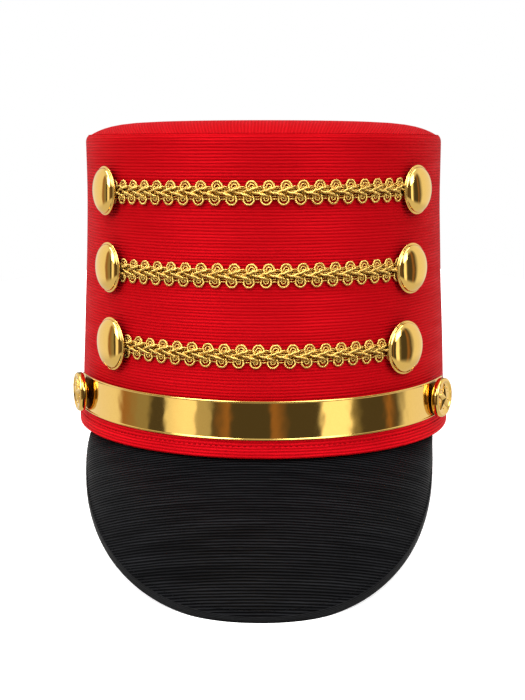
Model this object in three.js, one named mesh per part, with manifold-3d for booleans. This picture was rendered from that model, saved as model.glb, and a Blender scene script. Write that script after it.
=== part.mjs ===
// Shako hat: an oval drum of ribbed cloth with a domed crown, a folded hem, a black peak,
// a gilt front band ending in two star buttons, and three rows of braid between domed buttons.
// Millimetres. The hat is modelled upright about its own axis, with its front towards -Y,
// and is then tilted back until it rests on the tip of the peak and the back of the hem.
import * as THREE from 'three';
import Module from 'manifold-3d';
import { mergeVertices } from 'three/addons/utils/BufferGeometryUtils.js';

const wasm = await Module();
wasm.setup();

// Oval body
const WALL_HEIGHT = 132.8;
const FOOT_HALF_WIDTH = 88.0;
const LENGTH_OVER_WIDTH = 1.2;
const WALL_THICKNESS = 2.4;
const RIM_ROUNDING = 2.2;
const CLEARANCE = 0.3;
const FOOT_SIDE_DIP = 2.0;
const FOOT_SKEW = 0.5;

// Outline of the body: height as a share of WALL_HEIGHT, half width as a share of FOOT_HALF_WIDTH
const BODY_SECTIONS = [
  { height: 0.0, halfWidth: 1.0 },
  { height: 0.2, halfWidth: 0.99 },
  { height: 0.4, halfWidth: 0.975 },
  { height: 0.6, halfWidth: 0.96 },
  { height: 0.76, halfWidth: 0.952 },
  { height: 1.0, halfWidth: 0.955 },
];

// Crown: a domed cap whose short skirt sits inside the top of the wall
const CROWN_RISE = 5.9;
const CROWN_THICKNESS = 2.0;
const CROWN_SKIRT = 5.0;
const CROWN_EDGE_DROP = 0.8;
const CROWN_FLATNESS = 10;
const CROWN_OUTER_SHARES = [1, 0.96, 0.9, 0.82, 0.68, 0.5, 0.25];
const CROWN_INNER_SHARES = [0.4, 0.7, 0.87, 1];

// Hem: cloth folded round the foot of the wall
const HEM_THICKNESS = 1.1;
const HEM_OUTSIDE_HEIGHT = 15.0;
const HEM_INSIDE_HEIGHT = 12.0;
const HEM_SOFTENING = 0.66;

// Peak
const PEAK_THICKNESS = 3.1;
const PEAK_ROOT_ANGLE = 64.6;
const PEAK_HALF_WIDTH = 81.3;
const PEAK_REACH = 46.1;
const PEAK_TIP_DROP = 51.1;
const PEAK_EDGE_SLOPE = 21;
const PEAK_OUTLINE_POWER = 2.16;
const PEAK_END_POWER = 2.8;
const PEAK_ROOT_INSET = 1.6;
const PEAK_ARCH = 2.5;
// The peak leans a little to one side: sideways shift of its outline at the hem and at its tip
const PEAK_ROOT_SHIFT = -2.2;
const PEAK_TIP_SHIFT = 0.6;
const PEAK_SIDE_SHARE = 0.985;

// Gilt band on the front, over the upper part of the hem
const BAND_BOTTOM = 7.9;
const BAND_WIDTH = 16.4;
const BAND_THICKNESS = 0.8;
const BAND_END_ANGLE = 67;

// Star buttons at the ends of the band. The angles are measured round the oval from the front,
// and each button is turned a little about the upright, as it was sewn on.
const STAR_BUTTON_DIAMETER = 17.8;
const STAR_BUTTON_THICKNESS = 3.3;
const STAR_BUTTON_SEATS = {
  left: { angle: 63.3, rise: 1.0, turn: -2.7 },
  right: { angle: 61.2, rise: -0.35, turn: -4.8 },
};
const STAR_BUTTON_STAND_OFF = 1.1;
const STAR_BUTTON_SHANK_DIAMETER = 7.0;
const STAR_BUTTON_ROUNDING = 1.0;
const STAR_FACE_ROUNDING = 0.7;
const STAR_FIELD_DEPTH = 0.6;
const STAR_RING_WIDTH = 1.9;
const STAR_RADIUS = 6.6;
const STAR_NOTCH_RADIUS = 2.7;
const STAR_FIELD_SLOPE = 0.4;
const STAR_EDGE_HEIGHT = 0.25;
const STAR_APEX_HEIGHT = 1.3;
const STAR_POINTS = 5;

// Braid
const BRAID_WIDTH = 10.4;
const BRAID_WAIST_WIDTH = 6.4;
const BRAID_THICKNESS = 1.4;
const BRAID_LOOP_PITCH = 7.1;

// How much of a button's diameter lies over the end of the braid
const BRAID_END_SHARE = 0.22;

// Domed buttons, which stand over the ends of the braid on a short shank
const DOME_HEIGHT = 3.6;
const DOME_RIM_THICKNESS = 0.9;
const DOME_STAND_OFF = 2.0;
const DOME_SHANK_DIAMETER = 6.0;
const DOME_RIM_WIDTH = 0.5;
const DOME_PLATE_ROUNDING = 0.4;
const DOME_TURN = -2.7;
const TOP_BUTTON_DIAMETER = 21.2;
const MIDDLE_BUTTON_DIAMETER = 21.9;
const BOTTOM_BUTTON_DIAMETER = 23.2;

// Rows of braid. Heights are shares of the wall's height: of the braid at the front and of its
// rise to the right, and of the two buttons, whose angles are measured from the front.
const TRIM_ROWS = [
  {
    name: 'top', height: 0.82, rise: 0.0045, diameter: TOP_BUTTON_DIAMETER,
    left: { angle: 51.5, height: 0.817 }, right: { angle: 51.2, height: 0.821 },
  },
  {
    name: 'middle', height: 0.568, rise: 0.003, diameter: MIDDLE_BUTTON_DIAMETER,
    left: { angle: 49.3, height: 0.569 }, right: { angle: 48.1, height: 0.569 },
  },
  {
    name: 'bottom', height: 0.32, rise: -0.0023, diameter: BOTTOM_BUTTON_DIAMETER,
    left: { angle: 46.9, height: 0.322 }, right: { angle: 44.4, height: 0.316 },
  },
];

// How far the soft hem and peak are pressed flat where the hat rests on them
const REST_FLATTENING = 0.8;

// Facets
const BODY_FACETS = 72;
const PEAK_STEPS = 36;
const BAND_STEPS = 40;
const DOME_FACETS = 20;
const STAR_BUTTON_FACETS = 24;
const BRAID_STEPS_PER_LOOP = 4;
const MERGE_DISTANCE = 1e-5;

const RED = { color: 0xc4101c, roughness: 0.5, metalness: 0 };
const BLACK = { color: 0x141315, roughness: 0.7, metalness: 0 };
const GOLD = { color: 0xd9a83c, roughness: 0.18, metalness: 1 };
const BRAID_GOLD = { color: 0xb8922e, roughness: 0.45, metalness: 0.8 };

const radians = THREE.MathUtils.degToRad;
const hat = new THREE.Group();

function addMesh(name, geometry, finish, parent = hat) {
  const mesh = new THREE.Mesh(geometry, new THREE.MeshStandardMaterial(finish));
  mesh.name = name;
  parent.add(mesh);
  return mesh;
}

function halfWidthAt(height) {
  const share = THREE.MathUtils.clamp(height / WALL_HEIGHT, 0, 1);
  const upper = BODY_SECTIONS.findIndex((section, i) => i > 0 && share <= section.height);
  const [low, high] = [BODY_SECTIONS[upper - 1], BODY_SECTIONS[upper]];
  const blend = (share - low.height) / (high.height - low.height);
  return FOOT_HALF_WIDTH * THREE.MathUtils.lerp(low.halfWidth, high.halfWidth, blend);
}

// A point at an angle round the oval from the front, so far outside the wall's outer face
function onBody(angle, height, outside) {
  const halfWidth = halfWidthAt(height);
  return new THREE.Vector3(
    (halfWidth + outside) * Math.sin(angle),
    -(halfWidth * LENGTH_OVER_WIDTH + outside) * Math.cos(angle),
    height,
  );
}

function outwardDirection(angle) {
  const x = Math.sin(angle) * LENGTH_OVER_WIDTH;
  return new THREE.Vector3(x, -Math.cos(angle), 0).normalize();
}

function closedGeometry(points, triangles) {
  const geometry = new THREE.BufferGeometry();
  geometry.setAttribute('position', new THREE.Float32BufferAttribute(points.flatMap((p) => p.toArray()), 3));
  geometry.setIndex(triangles);
  geometry.computeVertexNormals();
  return geometry;
}

// Joins a row of equal closed sections into one body: a full ring, or a strip with closed ends.
// Seen along the row, each section runs anticlockwise.
function loft(sections, isRing) {
  const size = sections[0].length;
  const triangles = [];
  const spans = isRing ? sections.length : sections.length - 1;
  for (let i = 0; i < spans; i += 1) {
    const here = i * size;
    const next = ((i + 1) % sections.length) * size;
    for (let j = 0; j < size; j += 1) {
      const k = (j + 1) % size;
      triangles.push(here + j, next + j, next + k, here + j, next + k, here + k);
    }
  }
  if (!isRing) {
    const last = (sections.length - 1) * size;
    for (let j = 1; j < size - 1; j += 1) {
      triangles.push(0, j, j + 1, last, last + j + 1, last + j);
    }
  }
  return closedGeometry(sections.flat(), triangles);
}

function ringAngles(count) {
  return Array.from({ length: count }, (_, i) => (i / count) * 2 * Math.PI);
}

function arcAngles(from, to, steps) {
  return Array.from({ length: steps + 1 }, (_, i) => THREE.MathUtils.lerp(from, to, i / steps));
}

function toSolid(geometry) {
  const bare = geometry.clone();
  bare.deleteAttribute('normal');
  bare.deleteAttribute('uv');
  const merged = mergeVertices(bare, MERGE_DISTANCE);
  return new wasm.Manifold(new wasm.Mesh({
    numProp: 3,
    vertProperties: new Float32Array(merged.attributes.position.array),
    triVerts: new Uint32Array(merged.index.array),
  }));
}

function toGeometry(solid) {
  const { vertProperties, triVerts } = solid.getMesh();
  const geometry = new THREE.BufferGeometry();
  geometry.setAttribute('position', new THREE.Float32BufferAttribute(vertProperties, 3));
  geometry.setIndex(Array.from(triVerts));
  geometry.computeVertexNormals();
  return geometry;
}

// The foot is lower at the sides of the head than at the front and back, and most on the right
function footDip(angle) {
  return FOOT_SIDE_DIP * Math.sin(angle) ** 2 + FOOT_SKEW * Math.sin(angle);
}

// Each profile row holds how far outside the wall's outer face and how high a corner lies;
// its foot is the share of the foot's dip that it follows
function ringFromProfile(profile) {
  const sections = ringAngles(BODY_FACETS).map((angle) => (
    profile.map(({ outside, height, foot = 0 }) => {
      const corner = onBody(angle, height, outside);
      corner.z -= foot * footDip(angle);
      return corner;
    })
  ));
  return loft(sections, true);
}

const HEM_OUTSIDE = CLEARANCE + HEM_THICKNESS;
const HEM_INSIDE = -(WALL_THICKNESS + CLEARANCE + HEM_THICKNESS);

function makeWall() {
  const bottom = HEM_THICKNESS + CLEARANCE;
  const rimStart = WALL_HEIGHT - RIM_ROUNDING;
  const heights = BODY_SECTIONS.slice(1, -1).map((section) => section.height * WALL_HEIGHT);
  const rim = arcAngles(0, Math.PI / 2, 3).map((turn) => ({
    outside: -RIM_ROUNDING + RIM_ROUNDING * Math.cos(turn),
    height: rimStart + RIM_ROUNDING * Math.sin(turn),
  }));
  const profile = [
    { outside: 0, height: bottom, foot: 1 },
    ...heights.map((height) => ({ outside: 0, height })),
    ...rim,
    { outside: -WALL_THICKNESS, height: WALL_HEIGHT },
    ...heights.reverse().map((height) => ({ outside: -WALL_THICKNESS, height })),
    { outside: -WALL_THICKNESS, height: bottom, foot: 1 },
  ];
  return ringFromProfile(profile);
}

function makeHem() {
  const profile = [
    { outside: HEM_OUTSIDE - HEM_SOFTENING, height: 0, foot: 1 },
    { outside: HEM_OUTSIDE, height: HEM_SOFTENING, foot: 1 },
    { outside: HEM_OUTSIDE, height: HEM_OUTSIDE_HEIGHT },
    { outside: CLEARANCE, height: HEM_OUTSIDE_HEIGHT },
    { outside: CLEARANCE, height: HEM_THICKNESS, foot: 1 },
    { outside: HEM_INSIDE + HEM_THICKNESS, height: HEM_THICKNESS, foot: 1 },
    { outside: HEM_INSIDE + HEM_THICKNESS, height: HEM_INSIDE_HEIGHT },
    { outside: HEM_INSIDE, height: HEM_INSIDE_HEIGHT },
    { outside: HEM_INSIDE, height: HEM_SOFTENING, foot: 1 },
    { outside: HEM_INSIDE + HEM_SOFTENING, height: 0, foot: 1 },
  ];
  return ringFromProfile(profile);
}

// The dome falls away from its middle by a power of the share of the way out
function makeCrown() {
  const edge = -(WALL_THICKNESS + CLEARANCE);
  const edgeHeight = WALL_HEIGHT - CROWN_EDGE_DROP;
  const rise = CROWN_RISE + CROWN_EDGE_DROP;
  const lift = (share) => rise * (1 - share ** CROWN_FLATNESS);
  const outer = CROWN_OUTER_SHARES.map((share) => ({
    share, inset: edge, height: edgeHeight + lift(share),
  }));
  const inner = CROWN_INNER_SHARES.map((share) => ({
    share, inset: edge - CROWN_THICKNESS, height: edgeHeight + lift(share) - CROWN_THICKNESS,
  }));
  const rings = [
    ...inner,
    { share: 1, inset: edge - CROWN_THICKNESS, height: edgeHeight - CROWN_SKIRT },
    { share: 1, inset: edge, height: edgeHeight - CROWN_SKIRT },
    ...outer,
  ];
  const halfWidth = halfWidthAt(WALL_HEIGHT);
  const sections = rings.map(({ share, inset, height }) => (
    ringAngles(BODY_FACETS).map((angle) => new THREE.Vector3(
      share * (halfWidth + inset) * Math.sin(angle),
      -share * (halfWidth * LENGTH_OVER_WIDTH + inset) * Math.cos(angle),
      height,
    ))
  ));
  const points = sections.flat();
  const triangles = [];
  for (let i = 0; i < sections.length - 1; i += 1) {
    for (let j = 0; j < BODY_FACETS; j += 1) {
      const k = (j + 1) % BODY_FACETS;
      const [here, next] = [i * BODY_FACETS, (i + 1) * BODY_FACETS];
      triangles.push(here + j, here + k, next + k, here + j, next + k, next + j);
    }
  }
  const underside = points.push(new THREE.Vector3(0, 0, edgeHeight + rise - CROWN_THICKNESS)) - 1;
  const top = points.push(new THREE.Vector3(0, 0, edgeHeight + rise)) - 1;
  const last = (sections.length - 1) * BODY_FACETS;
  for (let j = 0; j < BODY_FACETS; j += 1) {
    const k = (j + 1) % BODY_FACETS;
    triangles.push(underside, k, j, top, last + j, last + k);
  }
  return closedGeometry(points, triangles);
}

// The front edge of the peak lies in one sloping plane, on a rounded outline.
function peakEdgePoint(share) {
  const rootDepth = onBody(radians(PEAK_ROOT_ANGLE), 0, 0).y;
  const frontDepth = onBody(0, 0, PEAK_REACH).y;
  const turn = share * Math.PI / 2;
  const power = 2 / PEAK_OUTLINE_POWER;
  const across = PEAK_HALF_WIDTH * Math.sign(turn) * Math.abs(Math.sin(turn)) ** power;
  const forward = Math.cos(turn) ** power;
  const x = across + THREE.MathUtils.lerp(PEAK_ROOT_SHIFT, PEAK_TIP_SHIFT, forward);
  const y = THREE.MathUtils.lerp(rootDepth, frontDepth, forward);
  const z = -PEAK_TIP_DROP + (y - frontDepth) * Math.tan(radians(PEAK_EDGE_SLOPE));
  return new THREE.Vector3(x, y, z);
}

function peakTopPoint(share, reach) {
  const root = onBody(radians(PEAK_ROOT_ANGLE) * share, 0, -PEAK_ROOT_INSET);
  root.z = -CLEARANCE - footDip(radians(PEAK_ROOT_ANGLE) * share);
  const width = (1 - Math.abs(share) ** PEAK_END_POWER) ** (1 / PEAK_END_POWER);
  const point = root.clone().lerp(peakEdgePoint(share), reach * width);
  const arch = PEAK_ARCH * width * Math.sin(reach * Math.PI);
  const away = outwardDirection(radians(PEAK_ROOT_ANGLE) * share).add(new THREE.Vector3(0, 0, 1));
  return point.addScaledVector(away.normalize(), arch);
}

function makePeak() {
  const reaches = [0, 0.17, 0.34, 0.5, 0.67, 0.84, 1];
  const turns = arcAngles(-Math.PI / 2, Math.PI / 2, PEAK_STEPS);
  const shares = turns.map((turn) => PEAK_SIDE_SHARE * Math.sin(turn));
  const sections = shares.map((share) => {
    const top = reaches.map((reach) => peakTopPoint(share, reach));
    const down = new THREE.Vector3(0, 0, -1);
    const inward = outwardDirection(radians(PEAK_ROOT_ANGLE) * share).negate();
    const under = top.map((point, i) => {
      return point.clone().addScaledVector(i === 0 ? inward : down, PEAK_THICKNESS);
    });
    return [...under, ...top.reverse()];
  });
  return loft(sections, false);
}

function makeBand() {
  const inside = HEM_OUTSIDE + CLEARANCE;
  const outside = inside + BAND_THICKNESS;
  const top = BAND_BOTTOM + BAND_WIDTH;
  const end = radians(BAND_END_ANGLE);
  const sections = arcAngles(-end, end, BAND_STEPS).map((angle) => {
    const drop = FOOT_SKEW * Math.sin(angle);
    return [
      onBody(angle, BAND_BOTTOM - drop, inside),
      onBody(angle, BAND_BOTTOM - drop, outside),
      onBody(angle, top - drop, outside),
      onBody(angle, top - drop, inside),
    ];
  });
  return loft(sections, false);
}

// Each edge of the strip swells over a loop and draws in between two loops
function makeBraid({ height, rise, diameter, left, right }) {
  const middle = height * WALL_HEIGHT;
  const radius = halfWidthAt(middle) * Math.sqrt((1 + LENGTH_OVER_WIDTH ** 2) / 2);
  const covered = (diameter * BRAID_END_SHARE) / radius;
  const start = -radians(left.angle) + covered;
  const end = radians(right.angle) - covered;
  const loops = Math.round(((end - start) * radius) / BRAID_LOOP_PITCH);
  const sections = arcAngles(start, end, loops * BRAID_STEPS_PER_LOOP).map((angle, i) => {
    const swell = (1 - Math.cos((i / BRAID_STEPS_PER_LOOP) * 2 * Math.PI)) / 2;
    const half = THREE.MathUtils.lerp(BRAID_WAIST_WIDTH, BRAID_WIDTH, swell) / 2;
    const level = middle + (rise * WALL_HEIGHT * angle) / end;
    const outside = CLEARANCE + BRAID_THICKNESS;
    return [
      onBody(angle, level - half, CLEARANCE),
      onBody(angle, level - half, outside),
      onBody(angle, level + half, outside),
      onBody(angle, level + half, CLEARANCE),
    ];
  });
  return loft(sections, false);
}

// A turned body whose axis points away from the wall; rows are radius and distance along the axis
function turnedBody(profile, facets) {
  const points = profile.map(({ radius, along }) => new THREE.Vector2(radius, along));
  const geometry = new THREE.LatheGeometry(points, facets);
  geometry.rotateX(Math.PI / 2);
  return geometry;
}

// Sets a turned body on the wall with its axis pointing outwards and its own Y axis upwards
function seatOnBody(mesh, angle, height, outside, turn) {
  const up = new THREE.Vector3(0, 0, 1);
  const away = outwardDirection(angle).applyAxisAngle(up, turn);
  const basis = new THREE.Matrix4().makeBasis(up.clone().cross(away), up, away);
  mesh.position.copy(onBody(angle, height, outside));
  mesh.quaternion.setFromRotationMatrix(basis);
}

function makeDomeButton(diameter) {
  const radius = diameter / 2;
  const shank = DOME_SHANK_DIAMETER / 2;
  const plate = DOME_STAND_OFF - CLEARANCE;
  const rim = plate + DOME_RIM_THICKNESS;
  const dome = arcAngles(0, Math.PI / 2, 4).map((turn) => ({
    radius: (radius - DOME_RIM_WIDTH) * Math.cos(turn),
    along: rim + DOME_HEIGHT * Math.sin(turn),
  }));
  dome[dome.length - 1].radius = 0;
  return turnedBody([
    { radius: 0, along: 0 },
    { radius: shank, along: 0 },
    { radius: shank, along: plate },
    { radius: radius - DOME_PLATE_ROUNDING, along: plate },
    { radius, along: plate + DOME_RIM_THICKNESS / 2 },
    ...dome,
  ], DOME_FACETS);
}

function makeStar(base) {
  const corners = [];
  for (let i = 0; i < STAR_POINTS * 2; i += 1) {
    const radius = i % 2 === 0 ? STAR_RADIUS : STAR_NOTCH_RADIUS;
    const angle = (i / (STAR_POINTS * 2)) * 2 * Math.PI;
    corners.push(new THREE.Vector2(radius * Math.sin(angle), radius * Math.cos(angle)));
  }
  const count = corners.length;
  const points = [
    ...corners.map((p) => new THREE.Vector3(p.x, p.y, base - STAR_EDGE_HEIGHT)),
    ...corners.map((p) => new THREE.Vector3(p.x, p.y, base + STAR_EDGE_HEIGHT)),
    new THREE.Vector3(0, 0, base - STAR_EDGE_HEIGHT),
    new THREE.Vector3(0, 0, base + STAR_APEX_HEIGHT),
  ];
  const triangles = [];
  for (let i = 0; i < count; i += 1) {
    const k = (i + 1) % count;
    triangles.push(i, count + i, count + k, i, count + k, k);
    triangles.push(2 * count, i, k, 2 * count + 1, count + k, count + i);
  }
  return closedGeometry(points, triangles);
}

function makeStarButton() {
  const radius = STAR_BUTTON_DIAMETER / 2;
  const shank = STAR_BUTTON_SHANK_DIAMETER / 2;
  const back = STAR_BUTTON_STAND_OFF - CLEARANCE;
  const front = back + STAR_BUTTON_THICKNESS;
  const field = front - STAR_FIELD_DEPTH;
  const disc = turnedBody([
    { radius: 0, along: 0 },
    { radius: shank, along: 0 },
    { radius: shank, along: back },
    { radius: radius - STAR_BUTTON_ROUNDING, along: back },
    { radius, along: back + STAR_BUTTON_ROUNDING },
    { radius, along: front - STAR_BUTTON_ROUNDING },
    { radius: radius - STAR_FACE_ROUNDING, along: front },
    { radius: radius - STAR_RING_WIDTH, along: front },
    { radius: radius - STAR_RING_WIDTH - STAR_FIELD_SLOPE, along: field },
    { radius: 0, along: field },
  ], STAR_BUTTON_FACETS);
  return toGeometry(toSolid(disc).add(toSolid(makeStar(field))));
}

// The surface that the hat rests on, found from the tip of the peak and the back of the hem
const tip = peakTopPoint(0, 1).setZ(-PEAK_TIP_DROP - PEAK_THICKNESS);
const heel = onBody(Math.PI, 0, HEM_OUTSIDE - HEM_SOFTENING);
const REST_TILT = Math.atan2(heel.z - tip.z, heel.y - tip.y);

function flattenedAtRest(geometry) {
  const size = WALL_HEIGHT * 4;
  const below = new THREE.BoxGeometry(size, size, size);
  below.translate(0, 0, REST_FLATTENING - size / 2);
  below.rotateX(REST_TILT);
  below.translate(heel.x, heel.y, heel.z);
  return toGeometry(toSolid(geometry).subtract(toSolid(below)));
}

addMesh('wall', makeWall(), RED);
addMesh('crown', makeCrown(), RED);
addMesh('hem', flattenedAtRest(makeHem()), RED);
addMesh('peak', flattenedAtRest(makePeak()), BLACK);
addMesh('band', makeBand(), GOLD);

const SIDES = { left: -1, right: 1 };

for (const [sideName, side] of Object.entries(SIDES)) {
  const seat = STAR_BUTTON_SEATS[sideName];
  const button = addMesh(`star_button_${sideName}`, makeStarButton(), GOLD);
  const outside = HEM_OUTSIDE + BAND_THICKNESS + 2 * CLEARANCE;
  const height = BAND_BOTTOM + BAND_WIDTH / 2 + seat.rise;
  seatOnBody(button, side * radians(seat.angle), height, outside, radians(seat.turn));
}

for (const row of TRIM_ROWS) {
  addMesh(`braid_${row.name}`, makeBraid(row), BRAID_GOLD);
  for (const [sideName, side] of Object.entries(SIDES)) {
    const seat = row[sideName];
    const button = addMesh(`button_${row.name}_${sideName}`, makeDomeButton(row.diameter), GOLD);
    const height = seat.height * WALL_HEIGHT;
    seatOnBody(button, side * radians(seat.angle), height, CLEARANCE, radians(DOME_TURN));
  }
}

hat.rotation.x = -REST_TILT;
const restHeight = heel.y * Math.sin(-REST_TILT) + REST_FLATTENING;
hat.position.z = -restHeight;
hat.updateMatrixWorld(true);
const box = new THREE.Box3().setFromObject(hat, true);
hat.position.y = -(box.min.y + box.max.y) / 2;

const group = new THREE.Group();
group.add(hat);
export default group;
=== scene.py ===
"""Shako hat: ribbed red drum, domed crown, folded hem, black peak, gilt band, braid and buttons.

Sizes are in millimetres in the hat's own frame: upright about its axis, with its front towards -Y.
in_row turns and moves such points to the row's frame, in metres, where the hat lies tilted back.
"""
import math

import bpy
import numpy as np
from mathutils import Matrix, Vector


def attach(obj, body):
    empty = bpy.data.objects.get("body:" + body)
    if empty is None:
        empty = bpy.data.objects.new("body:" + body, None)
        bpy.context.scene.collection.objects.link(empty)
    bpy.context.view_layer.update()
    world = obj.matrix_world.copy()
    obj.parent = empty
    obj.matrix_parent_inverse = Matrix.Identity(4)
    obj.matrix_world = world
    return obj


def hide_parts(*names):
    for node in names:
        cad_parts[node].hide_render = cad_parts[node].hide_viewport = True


bl_info = {
    "name": "Shako Hat",
    "version": (1, 0, 0),
    "blender": (4, 5, 0),
    "location": "View3D > Sidebar > Shako",
    "description": "Builds a shako hat with a ribbed cloth body, a peak, a gilt band and braid",
    "category": "Add Mesh",
}

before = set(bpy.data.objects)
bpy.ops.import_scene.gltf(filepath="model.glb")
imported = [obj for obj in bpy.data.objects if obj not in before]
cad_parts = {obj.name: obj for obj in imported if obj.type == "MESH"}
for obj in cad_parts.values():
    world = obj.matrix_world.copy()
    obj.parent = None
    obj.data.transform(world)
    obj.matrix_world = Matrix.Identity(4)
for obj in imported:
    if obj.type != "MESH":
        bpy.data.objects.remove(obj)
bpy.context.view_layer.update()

# Sizes of the hat
WALL_HEIGHT = 132.8
FOOT_HALF_WIDTH = 88.0
LENGTH_OVER_WIDTH = 1.2
WALL_THICKNESS = 2.4
RIM_ROUNDING = 2.2
# How far down the outside the rim's rounding goes
RIM_HEIGHT = 1.6 * RIM_ROUNDING
CLEARANCE = 0.3
FOOT_SIDE_DIP = 2.0
FOOT_SKEW = 0.5
# How far up the wall the dip of its foot is still felt
FOOT_DIP_REACH = 26.0
SECTION_HEIGHTS = (-0.2, 0.0, 0.2, 0.4, 0.6, 0.76, 1.0, 1.2)
SECTION_WIDTHS = (1.01, 1.0, 0.99, 0.975, 0.96, 0.952, 0.955, 0.9575)
# Height to each side over which a corner of the outline is eased, and how many samples ease it
SECTION_EASING = 9.0
SECTION_SAMPLES = 9
CROWN_RISE = 5.9
CROWN_THICKNESS = 2.0
CROWN_SKIRT = 5.0
CROWN_EDGE_DROP = 0.8
CROWN_FLATNESS = 8.5
# How far the crown's sewn edge lies out over the rim of the wall
CROWN_OVERLAP = 1.5
# How much the crown's ribs spread on its rounded edge: the larger, the less
CROWN_RIB_SPREAD = 50.0
HEM_THICKNESS = 1.1
HEM_OUTSIDE_HEIGHT = 15.0
HEM_INSIDE_HEIGHT = 12.0
HEM_OUTSIDE = CLEARANCE + HEM_THICKNESS
HEM_INSIDE = -(WALL_THICKNESS + CLEARANCE + HEM_THICKNESS)
PEAK_THICKNESS = 3.1
PEAK_ROOT_ANGLE = math.radians(64.6)
PEAK_HALF_WIDTH = 81.3
PEAK_REACH = 46.1
PEAK_TIP_DROP = 51.1
PEAK_EDGE_SLOPE = math.radians(21)
PEAK_OUTLINE_POWER = 2.16
PEAK_END_POWER = 2.8
PEAK_ROOT_INSET = 1.6
PEAK_ARCH = 2.5
PEAK_ROOT_SHIFT = -2.2
PEAK_TIP_SHIFT = 0.6
PEAK_SIDE_SHARE = 0.985
# The peak's ribs run across it: how far they lean back, and how close they lie
PEAK_RIB_LEAN = 0.646
PEAK_RIB_SHARE = 0.87
BINDING_WIDTH = 1.1
BINDING_OVERHANG = 0.3
BINDING_OUTSIDE = 0.35
BINDING_ROUNDING = 0.5
BAND_BOTTOM = 7.9
BAND_WIDTH = 16.4
BAND_THICKNESS = 0.8
BAND_END_ANGLE = math.radians(67)
# The band's turned edge: how far it stands out, and half its height
BAND_BEAD_DEPTH = 0.45
BAND_BEAD = 0.42
BAND_BOW = 0.18
STAR_BUTTON_DIAMETER = 17.8
STAR_BUTTON_THICKNESS = 3.3
STAR_BUTTON_SEATS = {"left": (-63.3, 1.0, -2.7), "right": (61.2, -0.35, -4.8)}
STAR_BUTTON_STAND_OFF = 1.1
STAR_BUTTON_SHANK = 7.0
STAR_FIELD_DEPTH = 0.6
STAR_RING_WIDTH = 1.9
STAR_RADIUS = 6.3
STAR_NOTCH_RADIUS = 2.6
STAR_APEX_HEIGHT = 1.2
STAR_POINTS = 5
# Sizes between which a three-cornered face of a star button is a flat facet, in square millimetres
STAR_FACETS = (1.0, 14.0)
STAR_BEAD_PLACE = 4.9
STAR_BEAD_RADIUS = 0.38
DOME_HEIGHT = 3.6
DOME_RIM_THICKNESS = 0.9
DOME_STAND_OFF = 2.0
DOME_SHANK = 6.0
DOME_TURN = math.radians(-2.7)
BRAID_END_SHARE = 0.22
# Each row of braid: height and rise as shares of the wall's height, diameter of its buttons, and
# the angle and height of the left and the right one
TRIM_ROWS = {
    "top": (0.82, 0.0045, 21.2, (-51.5, 0.817), (51.2, 0.821)),
    "middle": (0.568, 0.003, 21.9, (-49.3, 0.569), (48.1, 0.569)),
    "bottom": (0.32, -0.0023, 23.2, (-46.9, 0.322), (44.4, 0.316)),
}
# How far from the middle of the front one loop of each row stands
LOOP_PLACES = {"top": -3.1, "middle": -3.1, "bottom": -0.3}
# How far along the row the lower half of a braid repeat stands from the upper half
BRAID_SHIFT = -1.15
# Heights of the straight cords that run through the whole braid, behind its loops
BRAID_CORE_LEVELS = (-1.6, -0.5, 0.6, 1.6)
STITCH_LENGTH = 1.5
STITCH_THREAD = 0.28
# Where the peak's stitches lie, from its root to its edge, and a place a little further in
PEAK_STITCH_REACH = 0.965
PEAK_STITCH_INNER = 0.93
# How the hat rests: tilted back, and moved so that it stands on the floor
REST_TILT = 0.2070352
HAT_OFFSET_Y = 16.95733
HAT_OFFSET_Z = 21.05918
MM = 0.001
# UVs are in tenths of a metre
UV_SCALE = 0.01

# Facets
RING_SEGMENTS = 240
BUTTON_SEGMENTS = 64
BEAD_SEGMENTS = 12
# Rings of faces behind the rim of a button, counted from its back
DOME_BACK_RINGS = 4
STAR_BACK_RINGS = 2


def half_width(height):
    """Half width of the wall's outer face, with the outline's corners eased over a short height."""
    height = np.asarray(height, float)
    near = [np.interp((height + d) / WALL_HEIGHT, SECTION_HEIGHTS, SECTION_WIDTHS)
            for d in np.linspace(-SECTION_EASING, SECTION_EASING, SECTION_SAMPLES)]
    return FOOT_HALF_WIDTH * np.mean(near, axis=0)


def on_body(angle, height, outside):
    """A point at an angle round the oval from the front, so far outside the wall's outer face."""
    angle, height, outside = np.broadcast_arrays(angle, np.asarray(height, float), outside)
    half = half_width(height)
    x = (half + outside) * np.sin(angle)
    y = -(half * LENGTH_OVER_WIDTH + outside) * np.cos(angle)
    return np.stack([x, y, height], axis=-1)


def outward(angle):
    """Unit vectors that point straight away from the oval at an angle."""
    angle = np.asarray(angle, float)
    return unit(np.stack([LENGTH_OVER_WIDTH * np.sin(angle), -np.cos(angle), 0 * angle], axis=-1))


def foot_dip(angle):
    """How far the foot lies below the level of its front at an angle."""
    return FOOT_SIDE_DIP * np.sin(angle) ** 2 + FOOT_SKEW * np.sin(angle)


def turned_to_row(directions):
    """Directions turned from the hat's own frame to the row's, where the hat lies tilted back."""
    x, y, z = np.moveaxis(np.asarray(directions, float), -1, 0)
    cosine, sine = math.cos(REST_TILT), math.sin(REST_TILT)
    return np.stack([x, y * cosine + z * sine, z * cosine - y * sine], axis=-1)


def in_row(points, pressed=False):
    """Points in metres in the row's frame; a pressed piece lies flat where it rests."""
    placed = turned_to_row(points) + (0, HAT_OFFSET_Y, HAT_OFFSET_Z)
    if pressed:
        placed[..., 2] = np.maximum(placed[..., 2], 0)
    return placed * MM


def ring_lengths(height=0.0):
    """Angles round the oval, and the length of cloth from the back seam to each of them."""
    angles = np.linspace(-math.pi, math.pi, RING_SEGMENTS + 1)
    return angles, path_lengths(on_body(angles, height, 0))


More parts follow.
